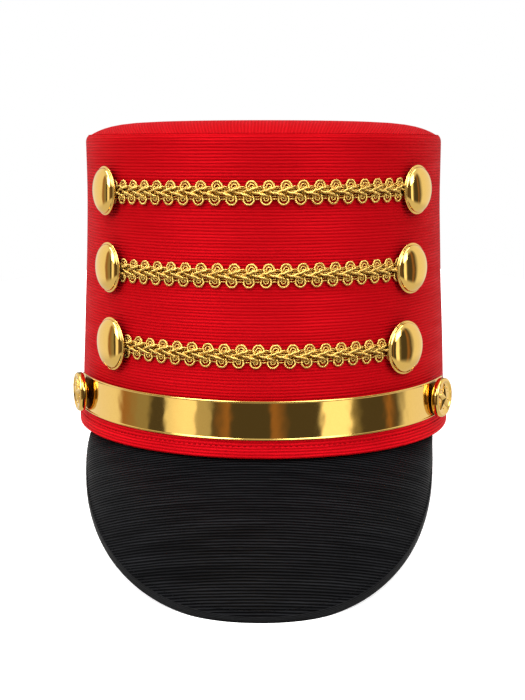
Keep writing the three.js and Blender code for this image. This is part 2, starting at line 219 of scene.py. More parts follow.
def path_lengths(points):
    """The length along a path from its start to each of its points."""
    steps = np.linalg.norm(np.diff(points, axis=0), axis=-1)
    return np.concatenate([[0], np.cumsum(steps)])


def unit(vectors):
    """Vectors of length one in the same directions."""
    return vectors / np.linalg.norm(vectors, axis=-1, keepdims=True)


def directions_along(path):
    """Unit vectors along a path at each of its points."""
    return unit(np.gradient(path, axis=0))


def arc(centre_x, centre_y, radius, start, stop, steps, third):
    """Points of an arc between two angles in degrees, each with the same third number."""
    turns = np.radians(np.linspace(start, stop, steps))
    return [(centre_x + radius * math.cos(t), centre_y + radius * math.sin(t), third)
            for t in turns]


def mesh_object(name, parts, material):
    """A mesh object from parts in metres, turned so that a closed mesh's faces point outwards.
    Parts are the points, and blocks of faces with one number of corners, each with its UVs."""
    points, blocks = parts
    points = np.asarray(points, float)
    volume = 0.0
    for faces, _ in blocks:
        corners = points[faces]
        for i in range(1, faces.shape[1] - 1):
            across = np.cross(corners[:, i], corners[:, i + 1])
            volume += float(np.sum(corners[:, 0] * across))
    if volume < 0:
        blocks = [(faces[:, ::-1], uvs[:, ::-1]) for faces, uvs in blocks]
    mesh = bpy.data.meshes.new(name)
    mesh.from_pydata(points.tolist(), [], [face for faces, _ in blocks for face in faces.tolist()])
    layer = mesh.uv_layers.new(name="UVMap")
    layer.uv.foreach_set("vector", np.concatenate([uvs.ravel() for _, uvs in blocks]))
    mesh.polygons.foreach_set("use_smooth", [True] * len(mesh.polygons))
    mesh.materials.append(material)
    mesh.update()
    piece = bpy.data.objects.new(name, mesh)
    bpy.context.scene.collection.objects.link(piece)
    return piece


def grid_parts(points, uvs, close_rows=False, close_columns=False, cap_ends=False, poles=()):
    """Parts of a grid of rows and columns. uvs has one row or column more than points where the
    grid closes. cap_ends closes the first and last column of closed rows, and poles are two points
    that close the first and last row of closed columns."""
    rows, columns = points.shape[:2]
    i, j = np.meshgrid(np.arange(rows if close_rows else rows - 1),
                       np.arange(columns if close_columns else columns - 1), indexing="ij")
    i, j = i.ravel(), j.ravel()
    up, right = (i + 1) % rows, (j + 1) % columns
    corners = [i * columns + j, i * columns + right, up * columns + right, up * columns + j]
    corner_uvs = [uvs[i, j], uvs[i, j + 1], uvs[i + 1, j + 1], uvs[i + 1, j]]
    blocks = [(np.stack(corners, -1), np.stack(corner_uvs, 1))]
    flat = points.reshape(-1, 3)
    if cap_ends:
        rim, last = np.arange(rows), columns - 1
        blocks.append((rim[None] * columns, uvs[None, rim, 0]))
        blocks.append((rim[None, ::-1] * columns + last, uvs[None, rim[::-1], last]))
    for row, pole in zip((0, rows - 1), poles):
        here = np.arange(columns)
        tip = np.full(columns, len(flat))
        flat = np.vstack([flat, pole])
        start = (row * columns + here, uvs[row, :columns])
        end = (row * columns + (here + 1) % columns, uvs[row, 1:columns + 1])
        first, second = (end, start) if row == 0 else (start, end)
        middle = (start[1] + end[1]) / 2
        blocks.append((np.stack([first[0], second[0], tip], 1),
                       np.stack([first[1], second[1], middle], 1)))
    return flat, blocks


def joined_parts(parts):
    """Several parts as one."""
    points, blocks = [], []
    for more_points, more_blocks in parts:
        start = sum(len(p) for p in points)
        points.append(np.asarray(more_points, float))
        blocks += [(faces + start, uvs) for faces, uvs in more_blocks]
    return np.vstack(points), blocks


def uv_grid(u, v):
    """UVs in tenths of a metre from lengths in millimetres along the columns and the rows."""
    u, v = np.broadcast_arrays(np.asarray(u, float)[None, :], np.asarray(v, float)[:, None])
    return np.stack([u, v], axis=-1) * UV_SCALE


def finish_piece(piece, slot, *nodes):
    """Says which body a piece rides on and hides the nodes that it stands for. slot is not used."""
    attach(piece, "root")
    if nodes:
        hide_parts(*nodes)


# Materials

WHITE = (1.0, 1.0, 1.0)


def feed(tree, node, inputs):
    """Links each named input to another node's output, or sets its own value."""
    for name, value in inputs.items():
        if isinstance(value, bpy.types.NodeSocket):
            tree.links.new(value, node.inputs[name])
        else:
            node.inputs[name].default_value = value


def add_node(tree, kind, inputs=None, **options):
    """A node with its options set and its inputs fed."""
    node = tree.nodes.new(kind)
    for name, value in options.items():
        setattr(node, name, value)
    feed(tree, node, inputs or {})
    return node


def new_material(name):
    """A material, its tree of nodes and its shader."""
    material = bpy.data.materials.new(name)
    material.use_nodes = True
    tree = material.node_tree
    return material, tree, tree.nodes["Principled BSDF"]


def colour(values):
    """Red, green and blue with full opacity."""
    return (*values, 1.0)


def mixed_colours(tree, mask, low, high):
    """Goes from low to high with the mask; each is a colour or another node's output."""
    low, high = (value if isinstance(value, bpy.types.NodeSocket) else colour(value)
                 for value in (low, high))
    # Inputs 6 and 7 and output 2 are the mix node's colours, whose names it uses more than once
    mix = add_node(tree, "ShaderNodeMix", {6: low, 7: high}, data_type="RGBA")
    feed(tree, mix, {"Factor": mask})
    return mix.outputs[2]


def maths(tree, operation, *values, clamp=False):
    """The result of a sum on numbers or other nodes' outputs."""
    node = add_node(tree, "ShaderNodeMath", dict(enumerate(values)), operation=operation,
                    use_clamp=clamp)
    return node.outputs[0]


def wave(tree, operation, turns):
    """A wave between 0 and 1, one for each whole turn."""
    angle = maths(tree, "MULTIPLY", turns, math.tau)
    return maths(tree, "MULTIPLY_ADD", maths(tree, operation, angle), 0.5, 0.5)


def varied(tree, mask, middle, spread):
    """A value that goes from half a spread under its middle to half a spread over it."""
    return maths(tree, "MULTIPLY_ADD", mask, spread, middle - spread / 2)


def placed_between(tree, value, low, high, interpolation="LINEAR"):
    """Where a value lies between low and high, from 0 to 1."""
    inputs = {"Value": value, "From Min": low, "From Max": high}
    node = add_node(tree, "ShaderNodeMapRange", inputs, interpolation_type=interpolation)
    return node.outputs[0]


def uv_output(tree):
    """The piece's own UV."""
    return add_node(tree, "ShaderNodeUVMap", uv_map="UVMap").outputs[0]


def object_output(tree):
    """Object coordinates, in metres."""
    return add_node(tree, "ShaderNodeTexCoord").outputs["Object"]


def stretched(tree, vector, scale):
    """Coordinates scaled by so much along each axis."""
    return add_node(tree, "ShaderNodeMapping", {"Vector": vector, "Scale": scale}).outputs[0]


def separated(tree, vector):
    """The three numbers of a vector."""
    return add_node(tree, "ShaderNodeSeparateXYZ", {0: vector}).outputs


def add_bump(tree, shader, height, depth):
    """Gives a shader's surface bumps so many millimetres deep."""
    node = add_node(tree, "ShaderNodeBump", {"Height": height, "Distance": depth * MM})
    feed(tree, shader, {"Normal": node.outputs[0]})


def new_group(name, inputs, outputs):
    """A group of shader nodes with number sockets, what it is given, and the node it ends in."""
    group = bpy.data.node_groups.new(name, "ShaderNodeTree")
    kind = "NodeSocketFloat"
    for label, value in inputs.items():
        socket = group.interface.new_socket(name=label, in_out="INPUT", socket_type=kind)
        socket.default_value = value
    for label in outputs:
        group.interface.new_socket(name=label, in_out="OUTPUT", socket_type=kind)
    given = add_node(group, "NodeGroupInput").outputs
    return group, given, add_node(group, "NodeGroupOutput")


def noise(tree, vector, scale, detail=2.0):
    """Soft noise between 0 and 1."""
    inputs = {"Vector": vector, "Scale": scale, "Detail": detail}
    return add_node(tree, "ShaderNodeTexNoise", inputs).outputs[0]


def ribs_group():
    """Ribbed cloth from a UV in tenths of a metre: ribs run along U and repeat along V."""
    group, given, result = new_group(
        "Cloth Ribs", {"Ribs per Metre": 714.0, "Waver": 0.14, "Threads per Rib": 3.0},
        ("Rib", "Height", "Patches"))
    uv = uv_output(group)
    drawn_out = stretched(group, uv, (1.0, 8.0, 1.0))
    along, across, _ = separated(group, uv)

    # The ribs waver a little along their length
    uneven = maths(group, "SUBTRACT", noise(group, drawn_out, 6.0), 0.5)
    waver = maths(group, "MULTIPLY", uneven, given["Waver"])
    ribs = maths(group, "MULTIPLY", across, maths(group, "MULTIPLY", given["Ribs per Metre"], 0.1))
    turns = maths(group, "ADD", ribs, maths(group, "MULTIPLY", waver, 4.0))
    rib = wave(group, "COSINE", turns)

    # Fine threads cross the ribs, and streaks run along them
    per_rib = maths(group, "MULTIPLY", given["Threads per Rib"], 0.1)
    per_tenth = maths(group, "MULTIPLY", given["Ribs per Metre"], per_rib)
    thread = wave(group, "COSINE", maths(group, "MULTIPLY", along, per_tenth))
    streak = noise(group, stretched(group, uv, (3.0, 71.4, 1.0)), 1.0, 3.0)
    fine = maths(group, "MULTIPLY", maths(group, "ADD", thread, streak), 0.1)
    height = maths(group, "ADD", maths(group, "POWER", rib, 0.75), fine)

    # Patches of painted sheen, where the ribs take more of their bright colour and the cloth is
    # less rough
    patches = maths(group, "MULTIPLY", noise(group, drawn_out, 2.2, 4.0), 0.6)
    patches = maths(group, "ADD", patches, maths(group, "MULTIPLY", streak, 0.4))
    feed(group, result, {"Rib": rib, "Height": height, "Patches": patches})
    return group


def cloth_material(name, deep, bright, ribs_per_metre, group, *, roughness, shine, bump,
                   satin=0.0, tint=WHITE):
    """Ribbed cloth with a painted highlight on its ribs and painted shade between them, stronger in
    faint patches of painted sheen, where it is also less rough.
    """
    material, tree, shader = new_material(name)
    ribs = add_node(tree, "ShaderNodeGroup", node_tree=group)
    feed(tree, ribs, {"Ribs per Metre": ribs_per_metre})
    # lit is the painted highlight on the rib tops, stronger in the patches of painted sheen; the
    # deep colour is painted shade between the ribs
    patch = placed_between(tree, ribs.outputs["Patches"], 0.3, 0.7)
    lit = maths(tree, "MULTIPLY", ribs.outputs["Rib"],
                maths(tree, "MULTIPLY_ADD", patch, 0.8, 0.2))
    feed(tree, shader, {
        "Base Color": mixed_colours(tree, lit, deep, bright),
        "Roughness": varied(tree, patch, roughness, -0.14),
        "Metallic": satin,
        "Specular IOR Level": shine,
        "Specular Tint": colour(tint),
    })
    add_bump(tree, shader, ribs.outputs["Height"], bump)
    return material


def polish_group():
    """Faint polish marks and a soft ripple on thin sheet metal, from Object coordinates."""
    group, given, result = new_group(
        "Metal Polish", {"Ripple Scale": 60.0, "Mark Scale": 900.0}, ("Marks", "Ripple"))
    place = object_output(group)
    feed(group, result, {"Marks": noise(group, place, given["Mark Scale"]),
                         "Ripple": noise(group, place, given["Ripple Scale"])})
    return group


def gilt_material(name, base, dull, group, *, roughness, ripple_scale, ripple_depth):
    """Thin sheet metal with faint marks of a duller tint."""
    material, tree, shader = new_material(name)
    polish = add_node(tree, "ShaderNodeGroup", node_tree=group)
    feed(tree, polish, {"Ripple Scale": ripple_scale})
    marks = polish.outputs["Marks"]
    mask = maths(tree, "MULTIPLY", marks, 0.5)
    feed(tree, shader, {
        "Base Color": mixed_colours(tree, mask, base, dull),
        "Roughness": varied(tree, marks, roughness, 0.05),
        "Metallic": 1.0,
    })
    add_bump(tree, shader, polish.outputs["Ripple"], ripple_depth)
    return material


def twist_group():
    """Twisted metal thread from a UV in tenths of a metre along the cord and round it."""
    group, given, result = new_group("Thread Twist", {"Twists per Metre": 1600.0},
                                     ("Strand", "Glint"))
    along, turned, _ = separated(group, uv_output(group))
    per_tenth = maths(group, "MULTIPLY", given["Twists per Metre"], 0.1)
    turns = maths(group, "ADD", maths(group, "MULTIPLY", along, per_tenth), turned)
    # Glint is noise that varies the thread's roughness and paints the strands lighter in spots: a
    # painted glint
    feed(group, result, {"Strand": wave(group, "SINE", turns),
                         "Glint": noise(group, object_output(group), 1400.0)})
    return group


def braid_material(name, base, deep, group, *, roughness, twist_depth):
    """Metal thread with painted shade between its plies and a painted glint, noise that lightens
    the strands in spots and also varies the roughness.
    """
    material, tree, shader = new_material(name)
    twist = add_node(tree, "ShaderNodeGroup", node_tree=group)
    strand, glint = twist.outputs["Strand"], twist.outputs["Glint"]
    # Painted shade between the plies, lightened on the strands by the painted glint
    mask = maths(tree, "MULTIPLY", strand, maths(tree, "MULTIPLY_ADD", glint, 0.8, 0.5),
                 clamp=True)
    feed(tree, shader, {
        "Base Color": mixed_colours(tree, mask, deep, base),
        "Roughness": varied(tree, glint, roughness, 0.3),
        "Metallic": 1.0,
    })
    add_bump(tree, shader, strand, twist_depth)
    return material


# Colours of the buttons' hidden backs: painted shade, dark where shade falls under their rims
GILT_BACK_PAINTED_SHADE = (0.14, 0.08, 0.025)
GILT_BACK_DULL_PAINTED_SHADE = (0.09, 0.05, 0.015)

# The finishes by name, filled by make_materials before any piece is made
MATERIALS = {}


def make_materials(settings):
    ribs, polish, twist = ribs_group(), polish_group(), twist_group()
    count = settings.ribs_per_metre
    # Each cloth's deep and bright colours are painted shade between its ribs and a painted
    # highlight on them
    red = {"roughness": 0.38, "shine": 0.006, "satin": 0.16, "tint": (1.0, 0.12, 0.16)}
    MATERIALS["red"] = cloth_material(
        "Red Ribbed Cloth With Painted Rib Shading", settings.red_painted_rib_shade, settings.red_painted_rib_light, count, ribs, bump=0.17, **red)
    # The hem is the red cloth with its ribs painted brighter: painted light on the hem
    MATERIALS["hem"] = cloth_material(
        "Red Hem Cloth In Painted Light", settings.red_painted_rib_shade, settings.hem_painted_light, count, ribs, bump=0.12,
        **red)
    MATERIALS["black"] = cloth_material(
        "Black Ribbed Cloth With Painted Rib Shading", settings.black_painted_rib_shade, settings.black_painted_rib_light, count, ribs,
        roughness=0.3, shine=0.025, bump=0.5)
    MATERIALS["binding"] = cloth_material(
        "Black Binding With Painted Rib Shading", settings.black_painted_rib_shade, settings.black_painted_rib_light, count * 2, ribs,
        roughness=0.4, shine=0.07, bump=0.2)
    MATERIALS["gilt"] = gilt_material(
        "Polished Gilt", settings.gilt_colour, settings.gilt_dull, polish,
        roughness=0.075, ripple_scale=70.0, ripple_depth=0.25)
    # The backs' dark colour is painted shade under the buttons' rims; their higher roughness is a
    # dull finish
    MATERIALS["back"] = gilt_material(
        "Dull Gilt Back In Painted Shade", GILT_BACK_PAINTED_SHADE, GILT_BACK_DULL_PAINTED_SHADE, polish,
        roughness=0.505, ripple_scale=70.0, ripple_depth=0.1)
    # The deep braid colour is painted shade between the thread's plies
    MATERIALS["braid"] = braid_material(
        "Gilt Thread With Painted Ply Shade", settings.braid_colour, settings.braid_painted_ply_shade, twist,
        roughness=0.24, twist_depth=0.12)


# Cloth pieces


# Waves of the cloth: strength, how many go round the hat, where they start, and the height over
# which they turn
CLOTH_WAVES = ((1.0, 3.0, 0.9, 31.0), (0.8, 7.0, 2.1, -19.0), (0.6, 13.0, 0.0, 12.0),
               (0.4, 5.0, 0.0, 6.5))


def cloth_waves(angles, heights, depth):
    """A slight unevenness of cloth drawn over a stiff body, in millimetres."""
    waves = sum(strength * np.sin(count * angles + start + heights / climb)
                for strength, count, start, climb in CLOTH_WAVES)
    return depth * waves / sum(strength for strength, *_ in CLOTH_WAVES)


# The height at which the length of cloth round the hat is measured, and how far inside the wall's
# outer face its waves fade out
RING_LENGTH_HEIGHT = 30.0
WAVE_EASING = 0.6
HEM_WAVE_SHARE = 0.5


def ring_piece(name, profile, material, waves, pressed=False):
    """A closed ring of cloth from a closed profile of outside, height and share of the foot's dip.
    Only its outer face waves."""
    outside, height, foot = np.array(profile, float).T
    angles, lengths = ring_lengths(RING_LENGTH_HEIGHT)
    a = angles[None, :-1]
    ease = np.clip((outside + WAVE_EASING) / WAVE_EASING, 0, 1)[:, None]
    bulge = cloth_waves(a, height[:, None], waves) * ease
    points = on_body(a, height[:, None], outside[:, None] + bulge)
    points[..., 2] -= foot[:, None] * foot_dip(a)
    closed = np.column_stack([outside, height])
    across = path_lengths(np.vstack([closed, closed[:1]]))
    parts = grid_parts(in_row(points, pressed), uv_grid(lengths, across), True, True)
    return mesh_object(name, parts, material)


def make_wall(settings):
    """The drum: up from inside the hem, over the rounded rim and down its inner face."""
    bottom = HEM_THICKNESS + CLEARANCE
    rim = WALL_HEIGHT - RIM_HEIGHT

    def side(outside, heights):
        return [(outside, h, max(1 - (h - bottom) / FOOT_DIP_REACH, 0)) for h in heights]

    profile = side(0.0, np.linspace(bottom, rim, 60))
    for t in np.radians(np.linspace(10, 88, 9)):
        inwards = RIM_ROUNDING * (1 - math.cos(t))
        profile.append((-inwards, rim + RIM_HEIGHT * math.sin(t), 0.0))
    profile += side(-WALL_THICKNESS, np.linspace(WALL_HEIGHT - 0.5, bottom, 24))
    waves = settings.cloth_unevenness / MM
    finish_piece(ring_piece("wall_cloth", profile, MATERIALS["red"], waves), "red_cloth", "wall")


def make_hem(settings):
    """Cloth folded round the foot: up the outside, down and up again inside the wall."""
    fold = HEM_THICKNESS * 0.6
    top, inner_top = HEM_OUTSIDE_HEIGHT, HEM_INSIDE_HEIGHT
    inner_face = HEM_INSIDE + HEM_THICKNESS
    profile = arc(HEM_OUTSIDE - fold, fold, fold, -90, 0, 5, 1.0)
    profile += [(HEM_OUTSIDE, h, 1 - (h - fold) / (top - fold))
                for h in np.linspace(fold + 0.6, top - 0.3, 10)]
    profile += [(HEM_OUTSIDE - 0.25, top, 0.0), (CLEARANCE, top, 0.0),
                (CLEARANCE, HEM_THICKNESS, 1.0), (inner_face, HEM_THICKNESS, 1.0),
                (inner_face, inner_top, 0.0), (HEM_INSIDE, inner_top, 0.0)]
    profile += [(HEM_INSIDE, h, 1 - h / inner_top) for h in (9.0, 6.0, 3.0)]
    profile += arc(HEM_INSIDE + fold, fold, fold, 180, 270, 5, 1.0)
    waves = settings.cloth_unevenness / MM * HEM_WAVE_SHARE
    # The hem's cloth has its ribs painted brighter than the wall's: painted light
    piece = ring_piece("hem_cloth", profile, MATERIALS["hem"], waves, pressed=True)
    finish_piece(piece, "red_cloth", "hem")


# Rows of the crown's face from its middle to its edge, and of its underside back to the middle
CROWN_OUTER_SHARES = (0.004, 0.1, 0.25, 0.4, 0.55, 0.68, 0.76, 0.82, 0.87, 0.905, 0.93, 0.95,
                      0.965, 0.978, 0.99)
CROWN_INNER_SHARES = (1.0, 0.97, 0.93, 0.87, 0.8, 0.6, 0.3, 0.1, 0.004)


def crown_point(angle, share, inset, drop=0.0):
    """A point of the dome at a share of the way out, so far below its face."""
    half = float(half_width(WALL_HEIGHT))
    rise = CROWN_RISE + CROWN_EDGE_DROP
    height = WALL_HEIGHT - CROWN_EDGE_DROP + rise * (1 - share ** CROWN_FLATNESS) - drop
    x = share * (half + inset) * np.sin(angle)
    y = -share * (half * LENGTH_OVER_WIDTH + inset) * np.cos(angle)
    return np.stack([x, y, np.broadcast_to(height, x.shape)], axis=-1)


def make_crown():
    """Ribs run from front to back over the top, and lean outwards on the rounded edge."""
    edge = -(WALL_THICKNESS + CLEARANCE)
    inside = edge - CROWN_THICKNESS
    brim = edge + CROWN_OVERLAP
    angles = np.linspace(-math.pi, math.pi, RING_SEGMENTS + 1)[:-1]
    rows = [crown_point(angles, share, brim) for share in CROWN_OUTER_SHARES]
    # The sewn edge lies flat on the rim of the wall, and a short skirt goes down inside the wall
    for inset, lift in ((brim, -0.1), (brim - 0.15, -0.3), (edge, 0.03)):
        rows.append(crown_point(angles, 1.0, inset))
        rows[-1][:, 2] = WALL_HEIGHT + lift
    rows += [crown_point(angles, 1.0, inset, CROWN_SKIRT) for inset in (edge, inside)]
    rows += [crown_point(angles, share, inside, CROWN_THICKNESS) for share in CROWN_INNER_SHARES]
    points = np.array(rows)
    lift = np.clip(points[..., 2] - WALL_HEIGHT + CROWN_EDGE_DROP, 0, CROWN_RISE)
    across = points[..., 0] / (1 + lift / CROWN_RIB_SPREAD)
    uvs = np.stack([points[..., 1], across], axis=-1) * UV_SCALE
    uvs = np.concatenate([uvs, uvs[:, :1]], axis=1)
    top = WALL_HEIGHT + CROWN_RISE
    poles = [in_row(np.array([0, 0, z])) for z in (top, top - CROWN_THICKNESS)]
    parts = grid_parts(in_row(points), uvs, False, True, poles=poles)
    finish_piece(mesh_object("crown_cloth", parts, MATERIALS["red"]), "red_cloth", "crown")


def peak_edge(share):
    """A point on the outline of the peak's upper face."""
    root_depth = on_body(PEAK_ROOT_ANGLE, 0, 0)[1]
    front_depth = on_body(0, 0, PEAK_REACH)[1]
    turn = share * math.pi / 2
    power = 2 / PEAK_OUTLINE_POWER
    forward = np.cos(turn) ** power
    x = PEAK_HALF_WIDTH * np.sign(turn) * np.abs(np.sin(turn)) ** power
    x = x + PEAK_ROOT_SHIFT + (PEAK_TIP_SHIFT - PEAK_ROOT_SHIFT) * forward
    y = root_depth + (front_depth - root_depth) * forward
    return np.stack([x, y, -PEAK_TIP_DROP + (y - front_depth) * math.tan(PEAK_EDGE_SLOPE)], axis=-1)


def peak_top(share, reach):
    """A point on the peak's upper face: share runs across from side to side, from -1 to 1, and
    reach from the hem out."""
    share, reach = np.broadcast_arrays(np.asarray(share, float), np.asarray(reach, float))
    angle = PEAK_ROOT_ANGLE * share
    root = on_body(angle, 0, -PEAK_ROOT_INSET)
    root[..., 2] = -CLEARANCE - foot_dip(angle)
    width = ((1 - np.abs(share) ** PEAK_END_POWER) ** (1 / PEAK_END_POWER))[..., None]
    reach = reach[..., None]
    away = unit(outward(angle) + (0, 0, 1))
    arch = PEAK_ARCH * width * np.sin(reach * math.pi) * away
    return root + (peak_edge(share) - root) * reach * width + arch


def peak_shares(count):
    """Places across the peak, closer together towards its ends."""
    return PEAK_SIDE_SHARE * np.sin(np.linspace(-math.pi / 2, math.pi / 2, count))


def make_peak():
    """The ribs of the cloth run across and sag a little to each side over the arched peak."""
    shares = peak_shares(150)
    top = peak_top(shares[None, :], np.linspace(0, 1, 28)[:, None])
    under = top - (0, 0, PEAK_THICKNESS)
    under[0] = top[0] - outward(PEAK_ROOT_ANGLE * shares) * PEAK_THICKNESS
    points = np.concatenate([top, under[::-1]])
    across = -PEAK_RIB_SHARE * (points[..., 2] + PEAK_RIB_LEAN * points[..., 1])
    uvs = np.stack([points[..., 0], across], axis=-1) * UV_SCALE
    uvs = np.concatenate([uvs, uvs[:1]])
    parts = grid_parts(in_row(points, True), uvs, True, False, cap_ends=True)
    finish_piece(mesh_object("peak_cloth", parts, MATERIALS["black"]), "black_cloth", "peak")


def swept_parts(path, sides, ups, section):
    """A closed tube whose section, in steps along side and up, is swept along a path in the hat.
    It lies flat where it rests."""
    ring = section[:, None, 0, None] * sides[None] + section[:, None, 1, None] * ups[None]
    round_it = path_lengths(np.vstack([section, section[:1]]))
    uvs = uv_grid(path_lengths(path), round_it)
    return grid_parts(in_row(path[None] + ring, True), uvs, True, False, cap_ends=True)


def rounded_section(width, height, corner):
    """Corners of a rounded oblong, anticlockwise."""
    rows = []
    for x, y, start in ((1, 1, 0), (-1, 1, 90), (-1, -1, 180), (1, -1, 270)):
        middle_x, middle_y = x * (width / 2 - corner), y * (height / 2 - corner)
        rows += [(a, b) for a, b, _ in arc(middle_x, middle_y, corner, start, start + 90, 4, 0)]
    return np.array(rows)


def make_binding():
    """A narrow bound edge along the outline of the peak."""
    edge = peak_top(peak_shares(220), 1.0)
    along = directions_along(edge)
    ups = unit(np.array([0, 0, 1.0]) - along * along[:, 2:3])
    sides = np.cross(ups, along)
    path = edge - (0, 0, PEAK_THICKNESS / 2) + sides * BINDING_OUTSIDE
    height = PEAK_THICKNESS + BINDING_OVERHANG
    parts = swept_parts(path, sides, ups, rounded_section(BINDING_WIDTH, height, BINDING_ROUNDING))
    finish_piece(mesh_object("peak_binding", parts, MATERIALS["binding"]), "black_cloth")


# Metal pieces


def make_band():
    """Thin polished strip with a fine turned edge along its top and bottom."""
    inside = HEM_OUTSIDE + CLEARANCE
    outside = inside + BAND_THICKNESS
    bottom, top = BAND_BOTTOM, BAND_BOTTOM + BAND_WIDTH

    def turned_edge(middle, start, stop):
        return [(outside - 0.3 + BAND_BEAD_DEPTH * math.sin(t), middle - BAND_BEAD * math.cos(t))
                for t in np.linspace(start, stop, 6)]

    section = [(inside, bottom + 0.2), (inside + 0.3, bottom)]
    section += turned_edge(bottom + BAND_BEAD, 0.3, math.pi - 0.4)
    face = np.linspace(bottom + 2 * BAND_BEAD + 0.2, top - 2 * BAND_BEAD - 0.2, 9)
    bow = np.sin(np.linspace(0, math.pi, 9)) * BAND_BOW
    section += [(outside - 0.12 + b, h) for h, b in zip(face, bow)]
    section += turned_edge(top - BAND_BEAD, 0.4, math.pi - 0.3)
    section += [(inside + 0.3, top), (inside, top - 0.2)]
    out, height = np.array(section).T
    angles = np.linspace(-BAND_END_ANGLE, BAND_END_ANGLE, 260)
    skewed = height[:, None] - FOOT_SKEW * np.sin(angles)[None]
    points = on_body(angles[None], skewed, out[:, None])
    lengths = path_lengths(on_body(angles, BAND_BOTTOM, 0))
    across = path_lengths(np.vstack([section, section[:1]]))
    parts = grid_parts(in_row(points), uv_grid(lengths, across), True, False, cap_ends=True)
    finish_piece(mesh_object("gilt_band", parts, MATERIALS["gilt"]), "gilt", "band")


def turned_parts(profile, segments=BUTTON_SEGMENTS):
    """A body turned about its own Z axis. The profile starts and ends on the axis."""
    radius, along = np.array(profile[1:-1], float).T
    turns = np.linspace(0, math.tau, segments + 1)[:-1]
    points = np.stack([radius[:, None] * np.cos(turns), radius[:, None] * np.sin(turns),
                       np.broadcast_to(along[:, None], (len(along), segments))], axis=-1)
    across = path_lengths(np.column_stack([radius, along]))
    uvs = uv_grid(np.linspace(0, math.tau, segments + 1) * radius.max(), across)
    poles = [(0, 0, profile[0][1]), (0, 0, profile[-1][1])]
    return grid_parts(points, uvs, False, True, poles=poles)


def seated(parts, angle, height, outside, turn):
    """Moves a body from its own axes on to the wall: its Z points outwards, further round the hat
    by turn, and its Y up."""
    points, blocks = parts
    away = outward(angle)
    cosine, sine = math.cos(turn), math.sin(turn)
    away = np.array([away[0] * cosine - away[1] * sine, away[0] * sine + away[1] * cosine, 0])
    up = np.array([0, 0, 1.0])
    right = np.cross(up, away)
    points = np.asarray(points, float)
    placed = on_body(angle, height, outside) + points @ np.array([right, up, away])
    return in_row(placed), blocks


def dome_parts(diameter):
    """A domed button on its shank, with a narrow rim."""
    radius = diameter / 2
    shank = DOME_SHANK / 2
    plate = DOME_STAND_OFF - CLEARANCE
    rim = plate + DOME_RIM_THICKNESS
    base, spread = rim + 0.02, radius - 0.75
    profile = [
        (0, 0), (shank, 0), (shank, plate - 0.05), (shank + 0.1, plate), (radius - 0.5, plate),
        (radius - 0.2, plate + 0.08), (radius, plate + 0.35), (radius, rim - 0.35),
        (radius - 0.12, rim - 0.1), (radius - 0.4, rim), (spread, base),
    ]
    for t in np.radians((4, 10, 18, 27, 36, 45, 54, 63, 72, 80, 86)):
        profile.append((spread * math.cos(t), base + DOME_HEIGHT * math.sin(t)))
    profile.append((0, base + DOME_HEIGHT))
    return turned_parts(profile)


def make_dome_buttons():
    """One domed button at each end of each row of braid."""
    for row, (_, _, diameter, left, right) in TRIM_ROWS.items():
        for word, (angle, height) in (("left", left), ("right", right)):
            parts = seated(dome_parts(diameter), math.radians(angle), height * WALL_HEIGHT,
                           CLEARANCE, DOME_TURN)
            piece = mesh_object(f"dome_button_{row}_{word}", parts, MATERIALS["gilt"])
            dull_shaded_back(piece, DOME_BACK_RINGS)
            finish_piece(piece, "gilt", f"button_{row}_{word}")


def dull_shaded_back(piece, rings):
    """Gives the first rings of a turned body, those behind its rim, the dull finish and the dark
    colour of painted shade.
    """
    piece.data.materials.append(MATERIALS["back"])
    for face in piece.data.polygons[:rings * BUTTON_SEGMENTS]:
        face.material_index = 1


def star_parts(base):
    """A plain five-pointed star with a ridge to each point, and one point up."""
    count = 2 * STAR_POINTS
    i = np.arange(count)
    turns = i * math.tau / count
    radii = np.where(i % 2 == 0, STAR_RADIUS, STAR_NOTCH_RADIUS)
    x, y = radii * np.sin(turns), radii * np.cos(turns)
    low, high = base - 0.2, base + 0.25
    points = [(a, b, z) for z in (low, high) for a, b in zip(x, y)]
    points += [(0, 0, low), (0, 0, base + STAR_APEX_HEIGHT)]
    k = (i + 1) % count
    sides = np.stack([i, k, count + k, count + i], 1)
    slopes = np.stack([count + i, count + k, np.full(count, 2 * count + 1)], 1)
    under = np.stack([k, i, np.full(count, 2 * count)], 1)
    blocks = [(faces, np.zeros((*faces.shape, 2))) for faces in (sides, slopes, under)]
    return np.array(points), blocks


def bead_parts(x, y, base, radius):
    """A small round bead that stands on a button's face."""
    profile = [(0, base - 0.1), (radius, base - 0.1)]
    profile += [(radius * math.cos(t), base + radius * math.sin(t))
                for t in np.linspace(0.3, 1.3, 4)]
    profile.append((0, base + radius))
    points, blocks = turned_parts(profile, BEAD_SEGMENTS)
    return points + (x, y, 0), blocks


